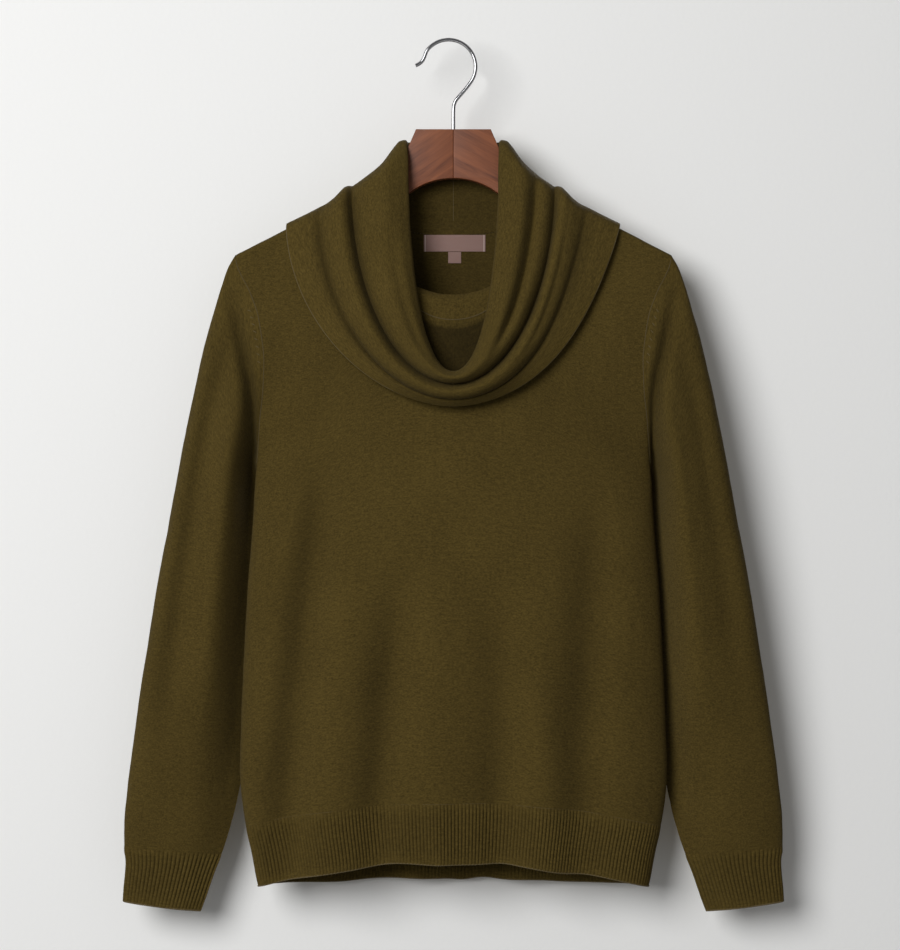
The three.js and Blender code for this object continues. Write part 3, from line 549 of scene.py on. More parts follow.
OUTLINE = table(
    "z half_width",
    (TIP_Z, 206.5), (-212, 205), (-224, 200), (-236, 193.5), (-248, 188.5), (-261, 184.2),
    (-281, 180.7), (-303, 178.5), (-331, 179.5), (-358, 182.6), (-390, 185.3), (-418, 187.8),
    (-455, 190), (-520, 195), (-587, 198.7), (-650, 201.2), (-690, 202.3), (-711, 201.3),
    (-734, 198.4), (-745, 196.4), (-768, 191), (-801, 185),
)
DEPTH = table(
    "z front back",
    (-145, 27, 20), (-260, 30, 23), (-350, 33, 25), (-500, 36, 27), (-650, 37, 27), (-801, 35, 25),
)
ARMHOLE = table(
    "drop front back",
    (9, 0, 0), (30, 4, 2.5), (58, 9, 6), (90, 13, 8.5), (120, 13, 7.5), (150, 10, 3),
    (180, 4, -6.5), (197, -0.5, -12), (207.5, -3, -15),
)
FOLDS = {
    "front": table(
        "low_x high_x top_z depth width",
        (-160, -120, -330, 7.5, 20), (-118, -95, -470, -2.5, 22), (-72, -52, -470, 5.5, 18),
        (-14, -16, -450, -3, 14), (42, 44, -480, 5, 20), (84, 80, -480, -2.5, 20), (122, 134, -380, 6, 22),
    ),
    "back": table(
        "low_x high_x top_z depth width",
        (-128, -120, -380, 5.5, 24), (-82, -84, -450, -2.5, 20), (-38, -30, -430, 5, 22),
        (14, 12, -470, -2.5, 18), (62, 52, -440, 4.5, 22), (146, 128, -400, 5.5, 24),
    ),
}
HEM_WAVES = {
    "front": table("x rise width", (-52, 2.4, 22), (46, 1.4, 15), (100, -2.2, 20)),
    "back": table(
        "x rise width", (-104, -1.2, 20), (-52, 1.6, 24), (9, -1.4, 10), (31, 1.4, 12), (107, -1.6, 24)
    ),
}
TOWARD = {"front": -1, "back": 1}
HEM_RISE = {"front": 24, "back": 3}
NECK_LOW_Z = {"front": -262, "back": -184}

half_width = through(OUTLINE, "z", "half_width")
depth = {face: through(DEPTH, "z", face) for face in TOWARD}
armhole = {face: through(ARMHOLE, "drop", face) for face in TOWARD}


# %% The body's surface
def shoulder_z(x):
    """The height of the shoulder line, level inside the neck."""
    return NECK_Z - (np.maximum(np.abs(x), NECK_HALF_WIDTH) - NECK_HALF_WIDTH) * SHOULDER_SLOPE


def saddle(drop):
    """How far the cloth stands out below the shoulder line, over the hanger's rounded arm."""
    return SADDLE * (1 - (1 - np.clip(drop / SADDLE, 0, 1)) ** 3) ** (1 / 3)


def fold_at(face, x, z, shift=0):
    """How far the folds move a point outward. With a shift it reads the folds beside the point."""
    total = 0
    for fold in FOLDS[face]:
        fallen = smooth((fold["top_z"] - z) / FOLD_FADE)
        down = smooth((fold["top_z"] - z) / (fold["top_z"] - HEM_CORNER_Z))
        middle = mix(fold["high_x"], fold["low_x"], down)
        total = total - FOLD_GAIN * fold["depth"] * fallen * bell(x + shift - middle, fold["width"])
    return total


def body(face, across, z):
    """Points of the body's outer side. across runs from -1 at the left side line to 1 at the right one."""
    across, z = np.broadcast_arrays(np.asarray(across, float), np.asarray(z, float))
    side = np.abs(across)
    x = across * half_width(z)
    drop = np.maximum(0, shoulder_z(x) - z)
    under = smooth((UNDERARM_Z - z) / UNDERARM_FADE + 0.5)
    chest = 1 - side**CHEST_POWER
    waist = np.sqrt(np.maximum(0, 1 - side**WAIST_POWER))
    fill = smooth((drop - FILL_START) / FILL_LENGTH)
    middle = (depth[face](z) - SADDLE) * fill + fold_at(face, x, z)
    out = saddle(drop) + mix(armhole[face](drop), middle, mix(chest, waist, under))
    return points(x, TOWARD[face] * out, z)


def straight_hem_z(face, x):
    """The hem's height without its waves."""
    return HEM_CORNER_Z + HEM_RISE[face] * (1 - np.minimum(1, np.abs(x) / HEM_CORNER_X) ** HEM_POWER)


def hem_z(face, x):
    """The hem's height with its waves."""
    return straight_hem_z(face, x) + sum(w["rise"] * bell(x - w["x"], w["width"]) for w in HEM_WAVES[face])


def rib_top_z(face, x):
    """The height of the seam between a panel and its hem band."""
    return straight_hem_z(face, x) + HEM_HEIGHT


def neckline_z(face, x):
    """The neckline's height, half an ellipse."""
    arc = np.sqrt(1 - np.minimum(1, np.abs(x) / NECK_HALF_WIDTH) ** 2)
    return NECK_Z + (NECK_LOW_Z[face] - NECK_Z) * arc


# %% Front and back panels
NECK_ACROSS = NECK_HALF_WIDTH / half_width(NECK_Z)
NECK_WARP = 0.42
SHOULDER_COLUMNS = 26
NECK_COLUMNS = 44
PANEL_ROWS = 120
EDGE_DROPS = np.array([0, 0.15, 0.5, 1.1, 2, 3.2, 4.6, 6.2])
BOTTOM_POWER = 0.62
SPREAD_BY = 0.7
# Painted shade: how much the fold valleys and the inside of the back neck are darkened.
FOLD_SHADE, FOLD_SHADE_SHIFT = 0.014, 8
NECK_SHADE = 0.3


def top_z(face, across):
    """The height of a panel's upper edge: neckline in the middle, shoulder beside it."""
    x = np.abs(across) * half_width(NECK_Z)
    return np.where(np.abs(across) < NECK_ACROSS, neckline_z(face, x), shoulder_z(x))


def panel_columns():
    """How far across each column lies, at the panel's top and at its bottom."""
    shoulder = mix(1, NECK_ACROSS, np.linspace(0, 1, SHOULDER_COLUMNS, endpoint=False) ** 1.5)
    even = np.linspace(math.pi / 2, 0, NECK_COLUMNS + 1)
    neck = NECK_ACROSS * np.sin(even + NECK_WARP * np.sin(2 * even))
    top = np.concatenate([shoulder, neck])
    bottom = np.cos(np.linspace(0, math.pi / 2, len(top))) ** BOTTOM_POWER
    bottom[-1] = 0
    return np.concatenate([-top, top[-2::-1]]), np.concatenate([-bottom, bottom[-2::-1]])


def panel_grid(face):
    """A panel's points: a few rows close together over the edge, then rows down to the rib."""
    top, bottom = panel_columns()
    down = np.linspace(0, 1, PANEL_ROWS)[:, None] ** 1.1
    spread = smooth(down / SPREAD_BY)
    across = mix(top, bottom, spread)
    start = top_z(face, top)
    lowest = rib_top_z(face, across * HEM_CORNER_X)
    low = mix(start - EDGE_DROPS[-1] - 1.5, lowest, down)
    edge_across = np.broadcast_to(top, (len(EDGE_DROPS), len(top)))
    edge = body(face, edge_across, start - EDGE_DROPS[:, None])
    grid = np.concatenate([edge, body(face, across, low)])
    at_side = np.abs(np.concatenate([edge_across, across])) == 1
    shared_line = (np.abs(grid[..., 1]) < SEAM / 2) | (at_side & (grid[..., 2] < UNDERARM_Z + 1))
    grid[..., 1] += shared_line * TOWARD[face] * SEAM / 2
    return grid


def moved(grid):
    """From the garment's middle line to the frame's axes."""
    return grid + np.array([CENTRE_X, 0, 0])


BODY_MIDDLE = (CENTRE_X, 0, -480)
for face in TOWARD:
    grid = panel_grid(face)
    x, z = grid[..., 0], grid[..., 2]
    # Painted shade inside the back neck and in the fold valleys, stored as a point attribute.
    in_neck = smooth((NECK_HALF_WIDTH - np.abs(x)) / 20) * smooth((z - NECK_LOW_Z["front"]) / 30)
    sunk = np.maximum(0, -fold_at(face, x, z, FOLD_SHADE_SHIFT))
    painted_shade = NECK_SHADE * in_neck * (face == "back") + FOLD_SHADE * sunk
    piece = cloth_grid(face + "_panel", moved(grid), extra={"painted_shade": painted_shade})
    faces_out(piece, BODY_MIDDLE)
    waved(piece, 0.9, 34)
    thick(piece, WALL)
    made_plain(piece, jersey)
    declare(piece, [face])

# %% [markdown]
# ## Ribbed bands
#
# Hem and cuffs are one-by-one rib: knitted columns stand up and the purled ones between them sink back, on
# both sides of the cloth. A Geometry Nodes tree moves the plain band along its normals by a wave that reads
# the number of the column from an attribute. The same tree serves the hem and the cuffs.


# %% Geometry trees
def geometry_tree(name, inputs):
    """A tree with named inputs: the tree, its sources, its target and the identifier of each input."""
    tree = bpy.data.node_groups.new(name, "GeometryNodeTree")
    names = {}
    for label, kind in {"Geometry": "Geometry", **inputs}.items():
        socket = tree.interface.new_socket(label, in_out="INPUT", socket_type="NodeSocket" + kind)
        names[label] = socket.identifier
    tree.interface.new_socket("Geometry", in_out="OUTPUT", socket_type="NodeSocketGeometry")
    source = tree.nodes.new("NodeGroupInput").outputs
    target = tree.nodes.new("NodeGroupOutput").inputs
    return tree, source, target, names


def end_tree(tree, shape, cloth, target):
    """The end of each tree: its instances made real, in one material."""
    real = add(tree, "GeometryNodeRealizeInstances", Geometry=shape)
    coloured = add(tree, "GeometryNodeSetMaterial", Geometry=real.outputs[0], Material=cloth)
    tree.links.new(coloured.outputs[0], target["Geometry"])


def attribute(tree, name, kind="FLOAT"):
    """A number or direction that belongs to the points."""
    return add(tree, "GeometryNodeInputNamedAttribute", {"data_type": kind}, Name=name).outputs[0]


def run_tree(piece, tree, names, **values):
    """Puts a tree on a piece, with its inputs set by their identifiers."""
    modifier = piece.modifiers.new(tree.name, "NODES")
    modifier.node_group = tree
    for label, value in values.items():
        modifier[names[label.replace("_", " ")]] = value


# %% Rib tree
rib_tree, source, target, rib_inputs = geometry_tree(
    "rib_columns", {"Rib Height": "Float", "Cloth": "Material"}
)
wave = calc(rib_tree, "COSINE", calc(rib_tree, "MULTIPLY", attribute(rib_tree, "wale"), math.pi))
wave = calc(rib_tree, "POWER", calc(rib_tree, "ABSOLUTE", wave), 0.7)
wave = calc(rib_tree, "SUBTRACT", wave, 0.55)
rise = calc(rib_tree, "MULTIPLY", wave, source["Rib Height"])
rise = calc(rib_tree, "MULTIPLY", rise, attribute(rib_tree, "inside"))
normal = add(rib_tree, "GeometryNodeInputNormal").outputs[0]
offset = add(rib_tree, "ShaderNodeVectorMath", {"operation": "SCALE"}, Vector=normal, Scale=rise)
raised = add(rib_tree, "GeometryNodeSetPosition", Geometry=source["Geometry"], Offset=offset.outputs[0])
end_tree(rib_tree, raised.outputs[0], source["Cloth"], target)

RIB_PITCH = 3.4
RIB_HEIGHT = 1.4
RIB_POINTS = 8
RIB_THICKNESS = 1.5


def rib_band(piece, inside):
    """Finishes a plain band: faces outward, ribs, thickness."""
    faces_out(piece, inside)
    run_tree(piece, rib_tree, rib_inputs, Rib_Height=RIB_HEIGHT * MM, Cloth=rib_knit)
    thick(piece, RIB_THICKNESS)
    made_plain(piece)


# %% Evenly spaced columns
LINE_SAMPLES = 2400


def evenly(line, count):
    """Numbers from 0 to 1 at which the points of a line, given as a function, are evenly far apart."""
    at = np.linspace(0, 1, LINE_SAMPLES + 1)
    run = lengths(line(at), 0)
    return np.interp(np.linspace(0, run[-1], count + 1), run, at), run[-1]


def fade(count, width=2):
    """1 along a band's height and less at both ends, where the ribs sink into the seam."""
    place = np.arange(count)
    nearest = np.minimum(place, place[::-1])
    return mix(0.2, 1, smooth(nearest / width))


# %% Hem bands
HEM_ROWS = 14


def hem_middle(face):
    """The line along the middle of a hem band, as a function from 0 to 1."""

    def line(share):
        across = -np.cos(math.pi * share)
        return body(face, across, straight_hem_z(face, across * HEM_CORNER_X) + HEM_HEIGHT / 2)

    return line


for face in TOWARD:
    length = evenly(hem_middle(face), 1)[1]
    ribs = round(length / RIB_PITCH)
    shares = evenly(hem_middle(face), ribs * RIB_POINTS)[0]
    across = -np.cos(math.pi * shares)
    x = across * HEM_CORNER_X
    up = np.linspace(1, 0, HEM_ROWS)[:, None]
    z = mix(hem_z(face, x), rib_top_z(face, x), up)
    grid = body(face, np.broadcast_to(across, z.shape), z)
    grid[:, [0, -1], 1] += TOWARD[face] * SEAM / 2
    wale = np.arange(len(shares)) / RIB_POINTS + 0.5
    extra = {"wale": wale, "inside": fade(HEM_ROWS)[:, None]}
    piece = cloth_grid(face + "_hem_band", moved(grid), extra=extra)
    rib_band(piece, (CENTRE_X, 0, -770))
    declare(piece, ["hem_rib_" + face])
    print(face, "hem:", ribs, "ribs")

# %% [markdown]
# ## Sleeves
#
# A set-in sleeve is a tube whose first ring is the armhole seam. Its rings turn from that upright curve to
# level ones, lean outward with the arm and close behind the body's edge. Each row of the table is one ring:
# its two ends, its depth before and behind them, and a tuck beside the body. A long fold with a ridge runs
# down the upper arm, and a crease follows the armhole below the shoulder.

# %% Sleeve sizes
SLEEVE = table(
    "row out_x out_z in_x in_z out_y in_y front back tuck hold",
    (0, 206.5, TIP_Z, 186, -400, 0, -6, 24, 20, 0, 1),
    (1, 213.5, -215, 186.4, -402, -0.5, -5, 25, 20, 0.5, 0.8),
    (2, 219.5, -232, 186.8, -405, -2, -1.5, 28, 20, 2.5, 0.55),
    (3, 226, -254, 187, -409, -3, 3, 31, 21, 5, 0.3),
    (4, 236.5, -292, 186.5, -417, -4, 8, 33, 21, 7, 0.12),
    (5, 248, -344, 185.5, -430, -5, 13, 34, 21, 7, 0),
    (6, 259, -400, 184.5, -448, -6, 16, 35, 21, 6, 0),
    (7, 269, -455, 184.5, -475, -6, 17.5, 34, 20, 5, 0),
    (8, 279.7, -512, 186.5, -520, -6, 18, 33, 19, 4, 0),
    (9, 289.7, -573, 190, -580, -5, 17.5, 31, 17, 3, 0),
    (10, 300, -640, 194.5, -646, -4, 16, 28, 15, 2, 0),
    (11, 308, -700, 202.5, -703, -3, 12, 22, 13, 1, 0),
    (12, 312, -738, 211, -742, -2, 6, 17, 12, 0, 0),
    (13, 312.5, -764, 220.5, -772, -1, 2, 13, 11, 0, 0),
    (14, 310.8, -780, 227, -788, 0, 2, 11.5, 10.5, 0, 0),
    (15, 314, -816, 240, -826, 0, 2, 10, 9, 0, 0),
)
CUFF_ROW, LAST_ROW = 13, 15
TUCK_AT, TUCK_WIDTH, TUCK_GAIN = 0.88, 0.08, 0.7
LONG_FOLD_ROWS = (1.2, 2.5, 8.5, 2.5)
ARM_RIDGE, RIDGE_AT, RIDGE_WIDTH = 9.0, 0.62, 0.15
ARM_DIP, DIP_AT, DIP_WIDTH = 6.0, 0.26, 0.12
CAP_CREASE = table(
    "z x depth",
    (-222, 211, 0), (-241, 207, 2.5), (-268, 202.5, 5), (-295, 197.6, 7), (-336, 189.5, 7.5),
    (-369, 187, 6.5), (-402, 188, 4.5), (-430, 190, 2), (-470, 193, 0),
)
CAP_WIDTH = 7.5
SLEEVE_POWER = 0.8
FLATTER_INSIDE = 1.4
sleeve_curve = {name: through(SLEEVE, "row", name) for name in SLEEVE[0]}
crease_x = through(CAP_CREASE, "z", "x")
crease_depth = through(CAP_CREASE, "z", "depth")


def armhole_points(share, front):
    """Points of the right armhole seam, a share of the way down its front or its back."""
    z = mix(TIP_Z, UNDERARM_Z, share)
    seam = {face: body(face, np.ones_like(z), z) for face in TOWARD}
    return np.where(front[..., None], seam["front"], seam["back"]) + np.array([SEAM, 0, 0])


def sleeve(turn, row):
    """Points of the right sleeve. turn runs once round from the outer end, over the front and back behind."""
    turn, row = np.broadcast_arrays(np.asarray(turn, float), np.asarray(row, float))
    at = {name: curve(row) for name, curve in sleeve_curve.items()}
    inward = 0.5 - 0.5 * np.cos(2 * math.pi * turn)
    front = np.mod(turn, 1) < 0.5
    flatter = np.where(front, FLATTER_INSIDE * smooth((inward - 0.5) / 0.4), 0)
    bulge = np.abs(np.sin(2 * math.pi * turn)) ** (SLEEVE_POWER + flatter)
    dip = ARM_DIP * bell(inward - DIP_AT, DIP_WIDTH)
    ridge = ARM_RIDGE * bell(inward - RIDGE_AT, RIDGE_WIDTH)
    long_fold = between(row, *LONG_FOLD_ROWS) * (dip - ridge)
    room = smooth((1 - inward) / 0.12)
    tuck = room * (TUCK_GAIN * at["tuck"] * bell(inward - TUCK_AT, TUCK_WIDTH) + long_fold)
    tuck = np.where(front, tuck, 0)
    lift = np.where(front, -(at["front"] * bulge - tuck), at["back"] * bulge)
    own = points(
        mix(at["out_x"], at["in_x"], inward),
        mix(at["out_y"], at["in_y"], inward) + lift,
        mix(at["out_z"], at["in_z"], inward),
    )
    seam = armhole_points(inward, front)
    first = SLEEVE[0]
    for k, letter in enumerate("xyz"):
        outer = at["out_" + letter] - first["out_" + letter]
        inner = at["in_" + letter] - first["in_" + letter]
        seam[..., k] += mix(outer, inner, inward)
    joined = mix(own, seam, at["hold"][..., None])
    free = room * smooth((1 - at["hold"]) / 0.5)
    joined[..., 1] += front * free * crease_depth(joined[..., 2]) * cap_crease(joined)
    return joined


def cap_crease(grid):
    """1 along the crease in the sleeve's front beside the armhole, and 0 away from it."""
    return bell(grid[..., 0] - crease_x(grid[..., 2]), CAP_WIDTH)


def sleeve_painted_shade(turns, rows, grid):
    """Painted shade on the sleeve's front, where little light reaches: beside the body, in the crease and in
    the long fold.
    """
    inward = 0.5 - 0.5 * np.cos(2 * math.pi * turns)
    beside_body = 0.22 * smooth((inward - 0.86) / 0.12) * between(rows, 3, 3, 8, 3)
    crease = 0.055 * crease_depth(grid[..., 2]) * cap_crease(grid)
    fold = 0.14 * bell(inward - 0.2, 0.13) * between(rows, 1.5, 3, 9, 3)
    return np.clip(beside_body + crease + fold, 0, 0.6) * (turns < 0.5)


# %% Sleeves and cuffs
SLEEVE_COLUMNS = 120
SLEEVE_ROWS = 170
CUFF_RIBS = 48
CUFF_ROWS = 14
SIDES = {"right": 1, "left": -1}


def on_side(grid, side):
    """A right piece's points for either side: 1 keeps them and -1 mirrors them."""
    return moved(grid * np.array([side, 1, 1]))


for label, side in SIDES.items():
    turns = np.linspace(0, 1, SLEEVE_COLUMNS, endpoint=False)
    rows = np.linspace(0, 1, SLEEVE_ROWS)[:, None] ** 1.15 * CUFF_ROW
    grid = sleeve(turns, rows)
    # Painted shade on the sleeve's front, stored as a point attribute.
    painted_shade = sleeve_painted_shade(turns, rows, grid)
    piece = cloth_grid("sleeve_" + label, on_side(grid, side), closed=True, extra={"painted_shade": painted_shade})
    faces_out(piece, (CENTRE_X + side * 245, 5, -480))
    waved(piece, 1.1, 30)
    room = np.abs(sleeve(1 - turns, rows)[..., 1] - grid[..., 1])
    near_body = np.abs(turns - 0.5) < 0.12
    pinched = np.clip(0.45 * room / WALL, 0.05, 1)
    thick(piece, WALL, shares=np.where(near_body, pinched, 1))
    made_plain(piece, jersey)
    declare(piece, [f"sleeve_{label}_side"])

    middle_row = (CUFF_ROW + LAST_ROW) / 2
    count = CUFF_RIBS * RIB_POINTS
    turns = evenly(lambda at: sleeve(at, middle_row), count)[0][:-1]
    rows = np.linspace(CUFF_ROW, LAST_ROW, CUFF_ROWS)[:, None]
    extra = {"wale": np.arange(count) / RIB_POINTS, "inside": fade(CUFF_ROWS)[:, None]}
    piece = cloth_grid("cuff_" + label, on_side(sleeve(turns, rows), side), closed=True, extra=extra)
    rib_band(piece, (CENTRE_X + side * 270, 1, -795))
    declare(piece, [f"cuff_{label}_side"])

# %% [markdown]
# ## The cowl collar
#
# The collar is one wide jersey tube. It rises from the neckline, sinks into a pocket in front, turns over at
# the crest and falls outside in two rolls to a flat edge. Each row of the table is one ring round the neck,
# in the order of the cloth, with its front, side and back. A second table gives the shallow folds that cross
# the rolls.

# %% Collar sizes
COLLAR_THICKNESS = 2.2
COLLAR = table(
    "row front_y front_z side_x side_z back_y back_z full leave",
    (1, -24, -243, 90.5, -140.5, 12, -172, 2, 9.6),
    (2, -29.5, -250, 85, -136, 13.5, -160, 2.05, 9.6),
    (3, -31.5, -267, 78.5, -130.5, 15, -147, 2.15, 9.8),
    (4, -33, -296, 70.5, -124, 17, -132, 2.3, 10),
    (5, -36, -323, 62, -116.5, 19.5, -117, 2.35, 10.4),
    (6, -41, -330.5, 53.5, -109.5, 22, -106, 2.3, 11),
    (7, -46.5, -325.5, 46, -103, 25, -98.5, 2.2, 11.5),
    (7.5, -51.5, -319, 43.8, -97.8, 27, -95.4, 2.16, 12),
    (8, -57, -316, 46, -94.6, 30, -94.4, 2.12, 12.5),
    (8.5, -62, -316.4, 50.2, -95.4, 33, -95.6, 2.1, 13.5),
    (9, -66.5, -318.3, 54.6, -99.8, 35.5, -99.2, 2.08, 15.5),
    (10, -71.5, -321.8, 67, -116.4, 39.5, -114, 2.05, 21.5),
    (11, -66.5, -324.6, 81.5, -128.6, 42, -136, 2.02, 20.5),
    (11.5, -60.5, -326, 90, -134.8, 41.5, -147, 2, 16),
    (12, -53.5, -326.5, 96, -138.5, 38.5, -160, 2, 10.5),
    (12.5, -56.5, -328.5, 99, -138.2, 40, -168, 2, 13),
    (13, -62, -331.5, 102, -138.8, 41.5, -177, 2, 17.5),
    (13.5, -66, -334.6, 107, -143.2, 42, -187, 2, 21),
    (14, -64.5, -337.5, 113, -149.5, 41.5, -198, 1.98, 20.5),
    (14.5, -59, -340, 121, -155.5, 39, -206, 1.96, 16.5),
    (15, -51, -340.8, 127, -158.5, 37, -213, 1.95, 13),
    (15.5, -52.5, -342.8, 133, -161.5, 37, -219, 1.92, 14),
    (16, -51, -344.3, 141, -165.5, 36.5, -226, 1.88, 14),
    (17, -46.5, -347, 157.5, -173.5, 35, -240, 1.85, 12),
)
COLLAR_FOLDS = table(
    "from_angle to_angle low_row high_row depth width",
    (0.45, 1.75, 10.2, 10.8, 9, 0.42),
    (0.55, 1.5, 14, 13.9, 2.5, 0.35),
    (-1.5, -0.6, 14.2, 14.3, 2.5, 0.5),
    (-1.35, -0.3, 9.5, 9.8, 3, 0.45),
)
CREST_ROW, LAST_RING = 8, 17
BACK_FULL = 2.4
LEAVE_OVER = 0.018
RIGHT_NARROWER = 0.065
REST_GAP = 1.2
FOOT_GAP, FOOT_GAP_OVER_ARM = 0.4, 0.7
# Painted shade: the pocket under the crest, the inside of the neck, and bands along the two creases.
POCKET_SHADE, POCKET_ROWS = 0.33, (2.9, 0.45, 7, 0.8)
CREASES = table("row width shade", (12.15, 0.62, 0.56), (15.1, 0.55, 0.4))
COLLAR_COLUMNS = 240
COLLAR_ROWS = 180
collar_curve = {name: through(COLLAR, "row", name) for name in COLLAR[0]}


# %% The collar's rings
def collar_ring(angle, row):
    """Points of the collar in the middle of its thickness. Angle 0 is the middle of the front."""
    angle, row = np.broadcast_arrays(np.asarray(angle, float), np.asarray(row, float))
    at = {name: curve(row) for name, curve in collar_curve.items()}
    s, c = np.sin(angle), np.cos(angle)
    front = c >= 0
    corner = 2 / np.where(front, at["full"], BACK_FULL)
    reach = np.abs(c) ** corner
    end_y = np.where(front, at["front_y"], at["back_y"])
    end_z = np.where(front, at["front_z"], at["back_z"])
    left = 1 - np.exp(-np.abs(c) / LEAVE_OVER)
    leave = np.sign(end_y) * np.minimum(at["leave"], np.abs(end_y))
    right = np.where(front & (s > 0), RIGHT_NARROWER * smooth((row - CREST_ROW - 3) / 4), 0)
    narrower = right * 4 * reach * (1 - reach)
    x = at["side_x"] * (1 - narrower) * np.sign(s) * np.abs(s) ** corner
    return points(x, leave * left + (end_y - leave) * reach, mix(at["side_z"], end_z, reach))


# %% Resting on the panels
def clear_of_body(grid, row):
    """Holds the collar's outer layer off the panels on which it rests."""
    resting = smooth((row - CREST_ROW - 1) / 3)
    x, y, z = grid[..., 0], grid[..., 1], grid[..., 2]
    across = np.clip(x / half_width(z), -1, 1)
    front = np.abs(body("front", across, z)[..., 1])
    back = np.abs(body("back", across, z)[..., 1])
    toward = np.where(y < 0, -1, 1)
    least = (np.where(y < 0, front, back) + COLLAR_THICKNESS / 2 + REST_GAP) * resting
    under = shoulder_z(x) - z
    short = np.maximum(0, least - np.abs(y)) * smooth(under / 3) * (under > 0)
    return points(x, y + toward * short, z)


# %% From the neckline to the first ring
def neckline(angle):
    """The neckline in the middle of the panels' thickness."""
    across = NECK_ACROSS * np.sin(angle)
    line = {}
    for face in TOWARD:
        z = top_z(face, across)
        step = 1e-3
        outer = body(face, across, z)
        along = body(face, across + step, z - 0.01) - body(face, across - step, z - 0.01)
        down = body(face, across, z - 0.06) - body(face, across, z - 0.01)
        line[face] = outer - outward(along, down, TOWARD[face]) * WALL / 2
    return np.where(np.cos(angle)[..., None] >= 0, line["front"], line["back"])


def collar_foot(angle, share):
    """The first stretch of the collar, from the seam to its first ring."""
    step = 0.01
    tangent = neckline(angle + step) - neckline(angle - step)
    inward = points(-tangent[..., 2], 0, tangent[..., 0])
    inward = unit(inward)
    seam = neckline(angle)
    to_middle = inward[..., 0] * seam[..., 0] - inward[..., 2] * (NECK_Z + NECK_HALF_WIDTH - seam[..., 2])
    inward = np.where(to_middle[..., None] > 0, -inward, inward)
    over_arm = (1 - smooth(np.abs(np.cos(angle)) * 5))[..., None]
    foot = seam + inward * (FOOT_GAP + FOOT_GAP_OVER_ARM * over_arm)
    ring = collar_ring(angle, np.ones_like(angle))
    reach = ring - foot
    distance = np.linalg.norm(reach, axis=-1, keepdims=True)
    start = mix(inward, reach / distance, over_arm)
    bend = foot + start * distance / 2
    return mix(mix(foot, bend, share), mix(bend, ring, share), share)


# %% Folds of the collar, and its painted shade
def extra_folds(angle, row):
    """Shallow folds that cross the rolls: how far each sinks in, by its place on the collar."""
    total = 0
    for fold in COLLAR_FOLDS:
        along = smooth((angle - fold["from_angle"]) / 0.35) * smooth((fold["to_angle"] - angle) / 0.35)
        lean = mix(fold["low_row"], fold["high_row"], np.abs(angle) / (math.pi / 2))
        total = total + fold["depth"] * along * bell(row - lean, fold["width"])
    return total


def collar_painted_shade(angle, row):
    """Painted shade on the collar, where little light reaches: deep in its creases, the pocket and the neck.
    """
    front = smooth(np.cos(angle) / 0.35 + 0.3)
    pocket = POCKET_SHADE * front * between(row, *POCKET_ROWS)
    neck = NECK_SHADE * (1 - smooth((row - 6.5) / 1.2)) * (1 - front * (row < 3.3))
    creases = sum(crease["shade"] * bell(row - crease["row"], crease["width"]) for crease in CREASES)
    return np.clip(pocket + neck + creases * front, 0, 0.8)


def collar_grid():
    """The collar's points from the seam to its free edge, and the painted shade at each."""
    even = np.linspace(0, 2 * math.pi, COLLAR_COLUMNS, endpoint=False)
    angle = even + NECK_WARP * np.sin(2 * even)
    foot_rows = np.linspace(0, 1, 9, endpoint=False)
    rows = np.linspace(1, LAST_RING, COLLAR_ROWS)[:, None]
    foot = np.stack([collar_foot(angle, share) for share in foot_rows])
    rings = collar_ring(angle, rows)
    signed = np.where(angle > math.pi, angle - 2 * math.pi, angle)
    rings[..., 1] += extra_folds(signed, rows)
    painted_shade = collar_painted_shade(signed, rows)
    painted_shade = np.concatenate([np.repeat(painted_shade[:1], len(foot_rows), axis=0), painted_shade])
    return np.concatenate([foot, clear_of_body(rings, rows)]), painted_shade


grid, painted_shade = collar_grid()
collar = cloth_grid("cowl", moved(grid), closed=True, extra={"painted_shade": painted_shade})
waved(collar, 1.0, 26)
thick(collar, COLLAR_THICKNESS, 0.0)
made_plain(collar, jersey)
declare(collar, ["cowl_collar"])

# %% [markdown]
# ## Labels
#
# The neck label is a strip of satin sewn on over the back seam, with a small tab below it. Both are left
# bare. The strip bows a little between its two ends, where a thin pale line shows that it is sewn down.

# %% Satin
satin, tree, shader = material("mauve_satin")
coordinates = add(tree, "ShaderNodeUVMap", {"uv_map": CLOTH_UV}).outputs["UV"]
bands = {"wave_type": "BANDS", "bands_direction": "Y"}
weave = add(tree, "ShaderNodeTexWave", bands, Vector=coordinates, Scale=900.0, Distortion=0.6)
tone = blend_colour(tree, weave.outputs["Fac"], (0.162, 0.087, 0.069, 1), (0.235, 0.13, 0.105, 1))
border = add(tree, "ShaderNodeAttribute", {"attribute_name": "border"}).outputs["Fac"]
fill(shader, Base_Color=blend_colour(tree, border, tone, (0.5, 0.4, 0.36, 1)))
fill(shader, Roughness=0.42, Anisotropic=0.4, Sheen_Weight=0.2)
bump(tree, shader, weave.outputs["Fac"], 0.00006)


# %% Label and size tab
def label_grid(width, height, top_edge, bow):
    """A strip's points, in front of the back panel."""
    x = np.linspace(-width / 2, width / 2, LABEL_COLUMNS)
    z = top_edge - np.linspace(0, height, LABEL_ROWS)[:, None]
    x, z = np.broadcast_arrays(x, z)
    grid = body("back", (x + LABEL_X) / half_width(z), z)
    grid[..., 1] -= WALL + SEAM + bow * (1 - (2 * x / width) ** 2)
    return grid


LABEL_TOP = NECK_LOW_Z["back"] + 0.9
LABEL_X = 1.2
LABEL_COLUMNS, LABEL_ROWS = 121, 33
LABEL = {"width": 58.7, "height": 15.7}
TAB = {"width": 12.2, "height": 10.7}


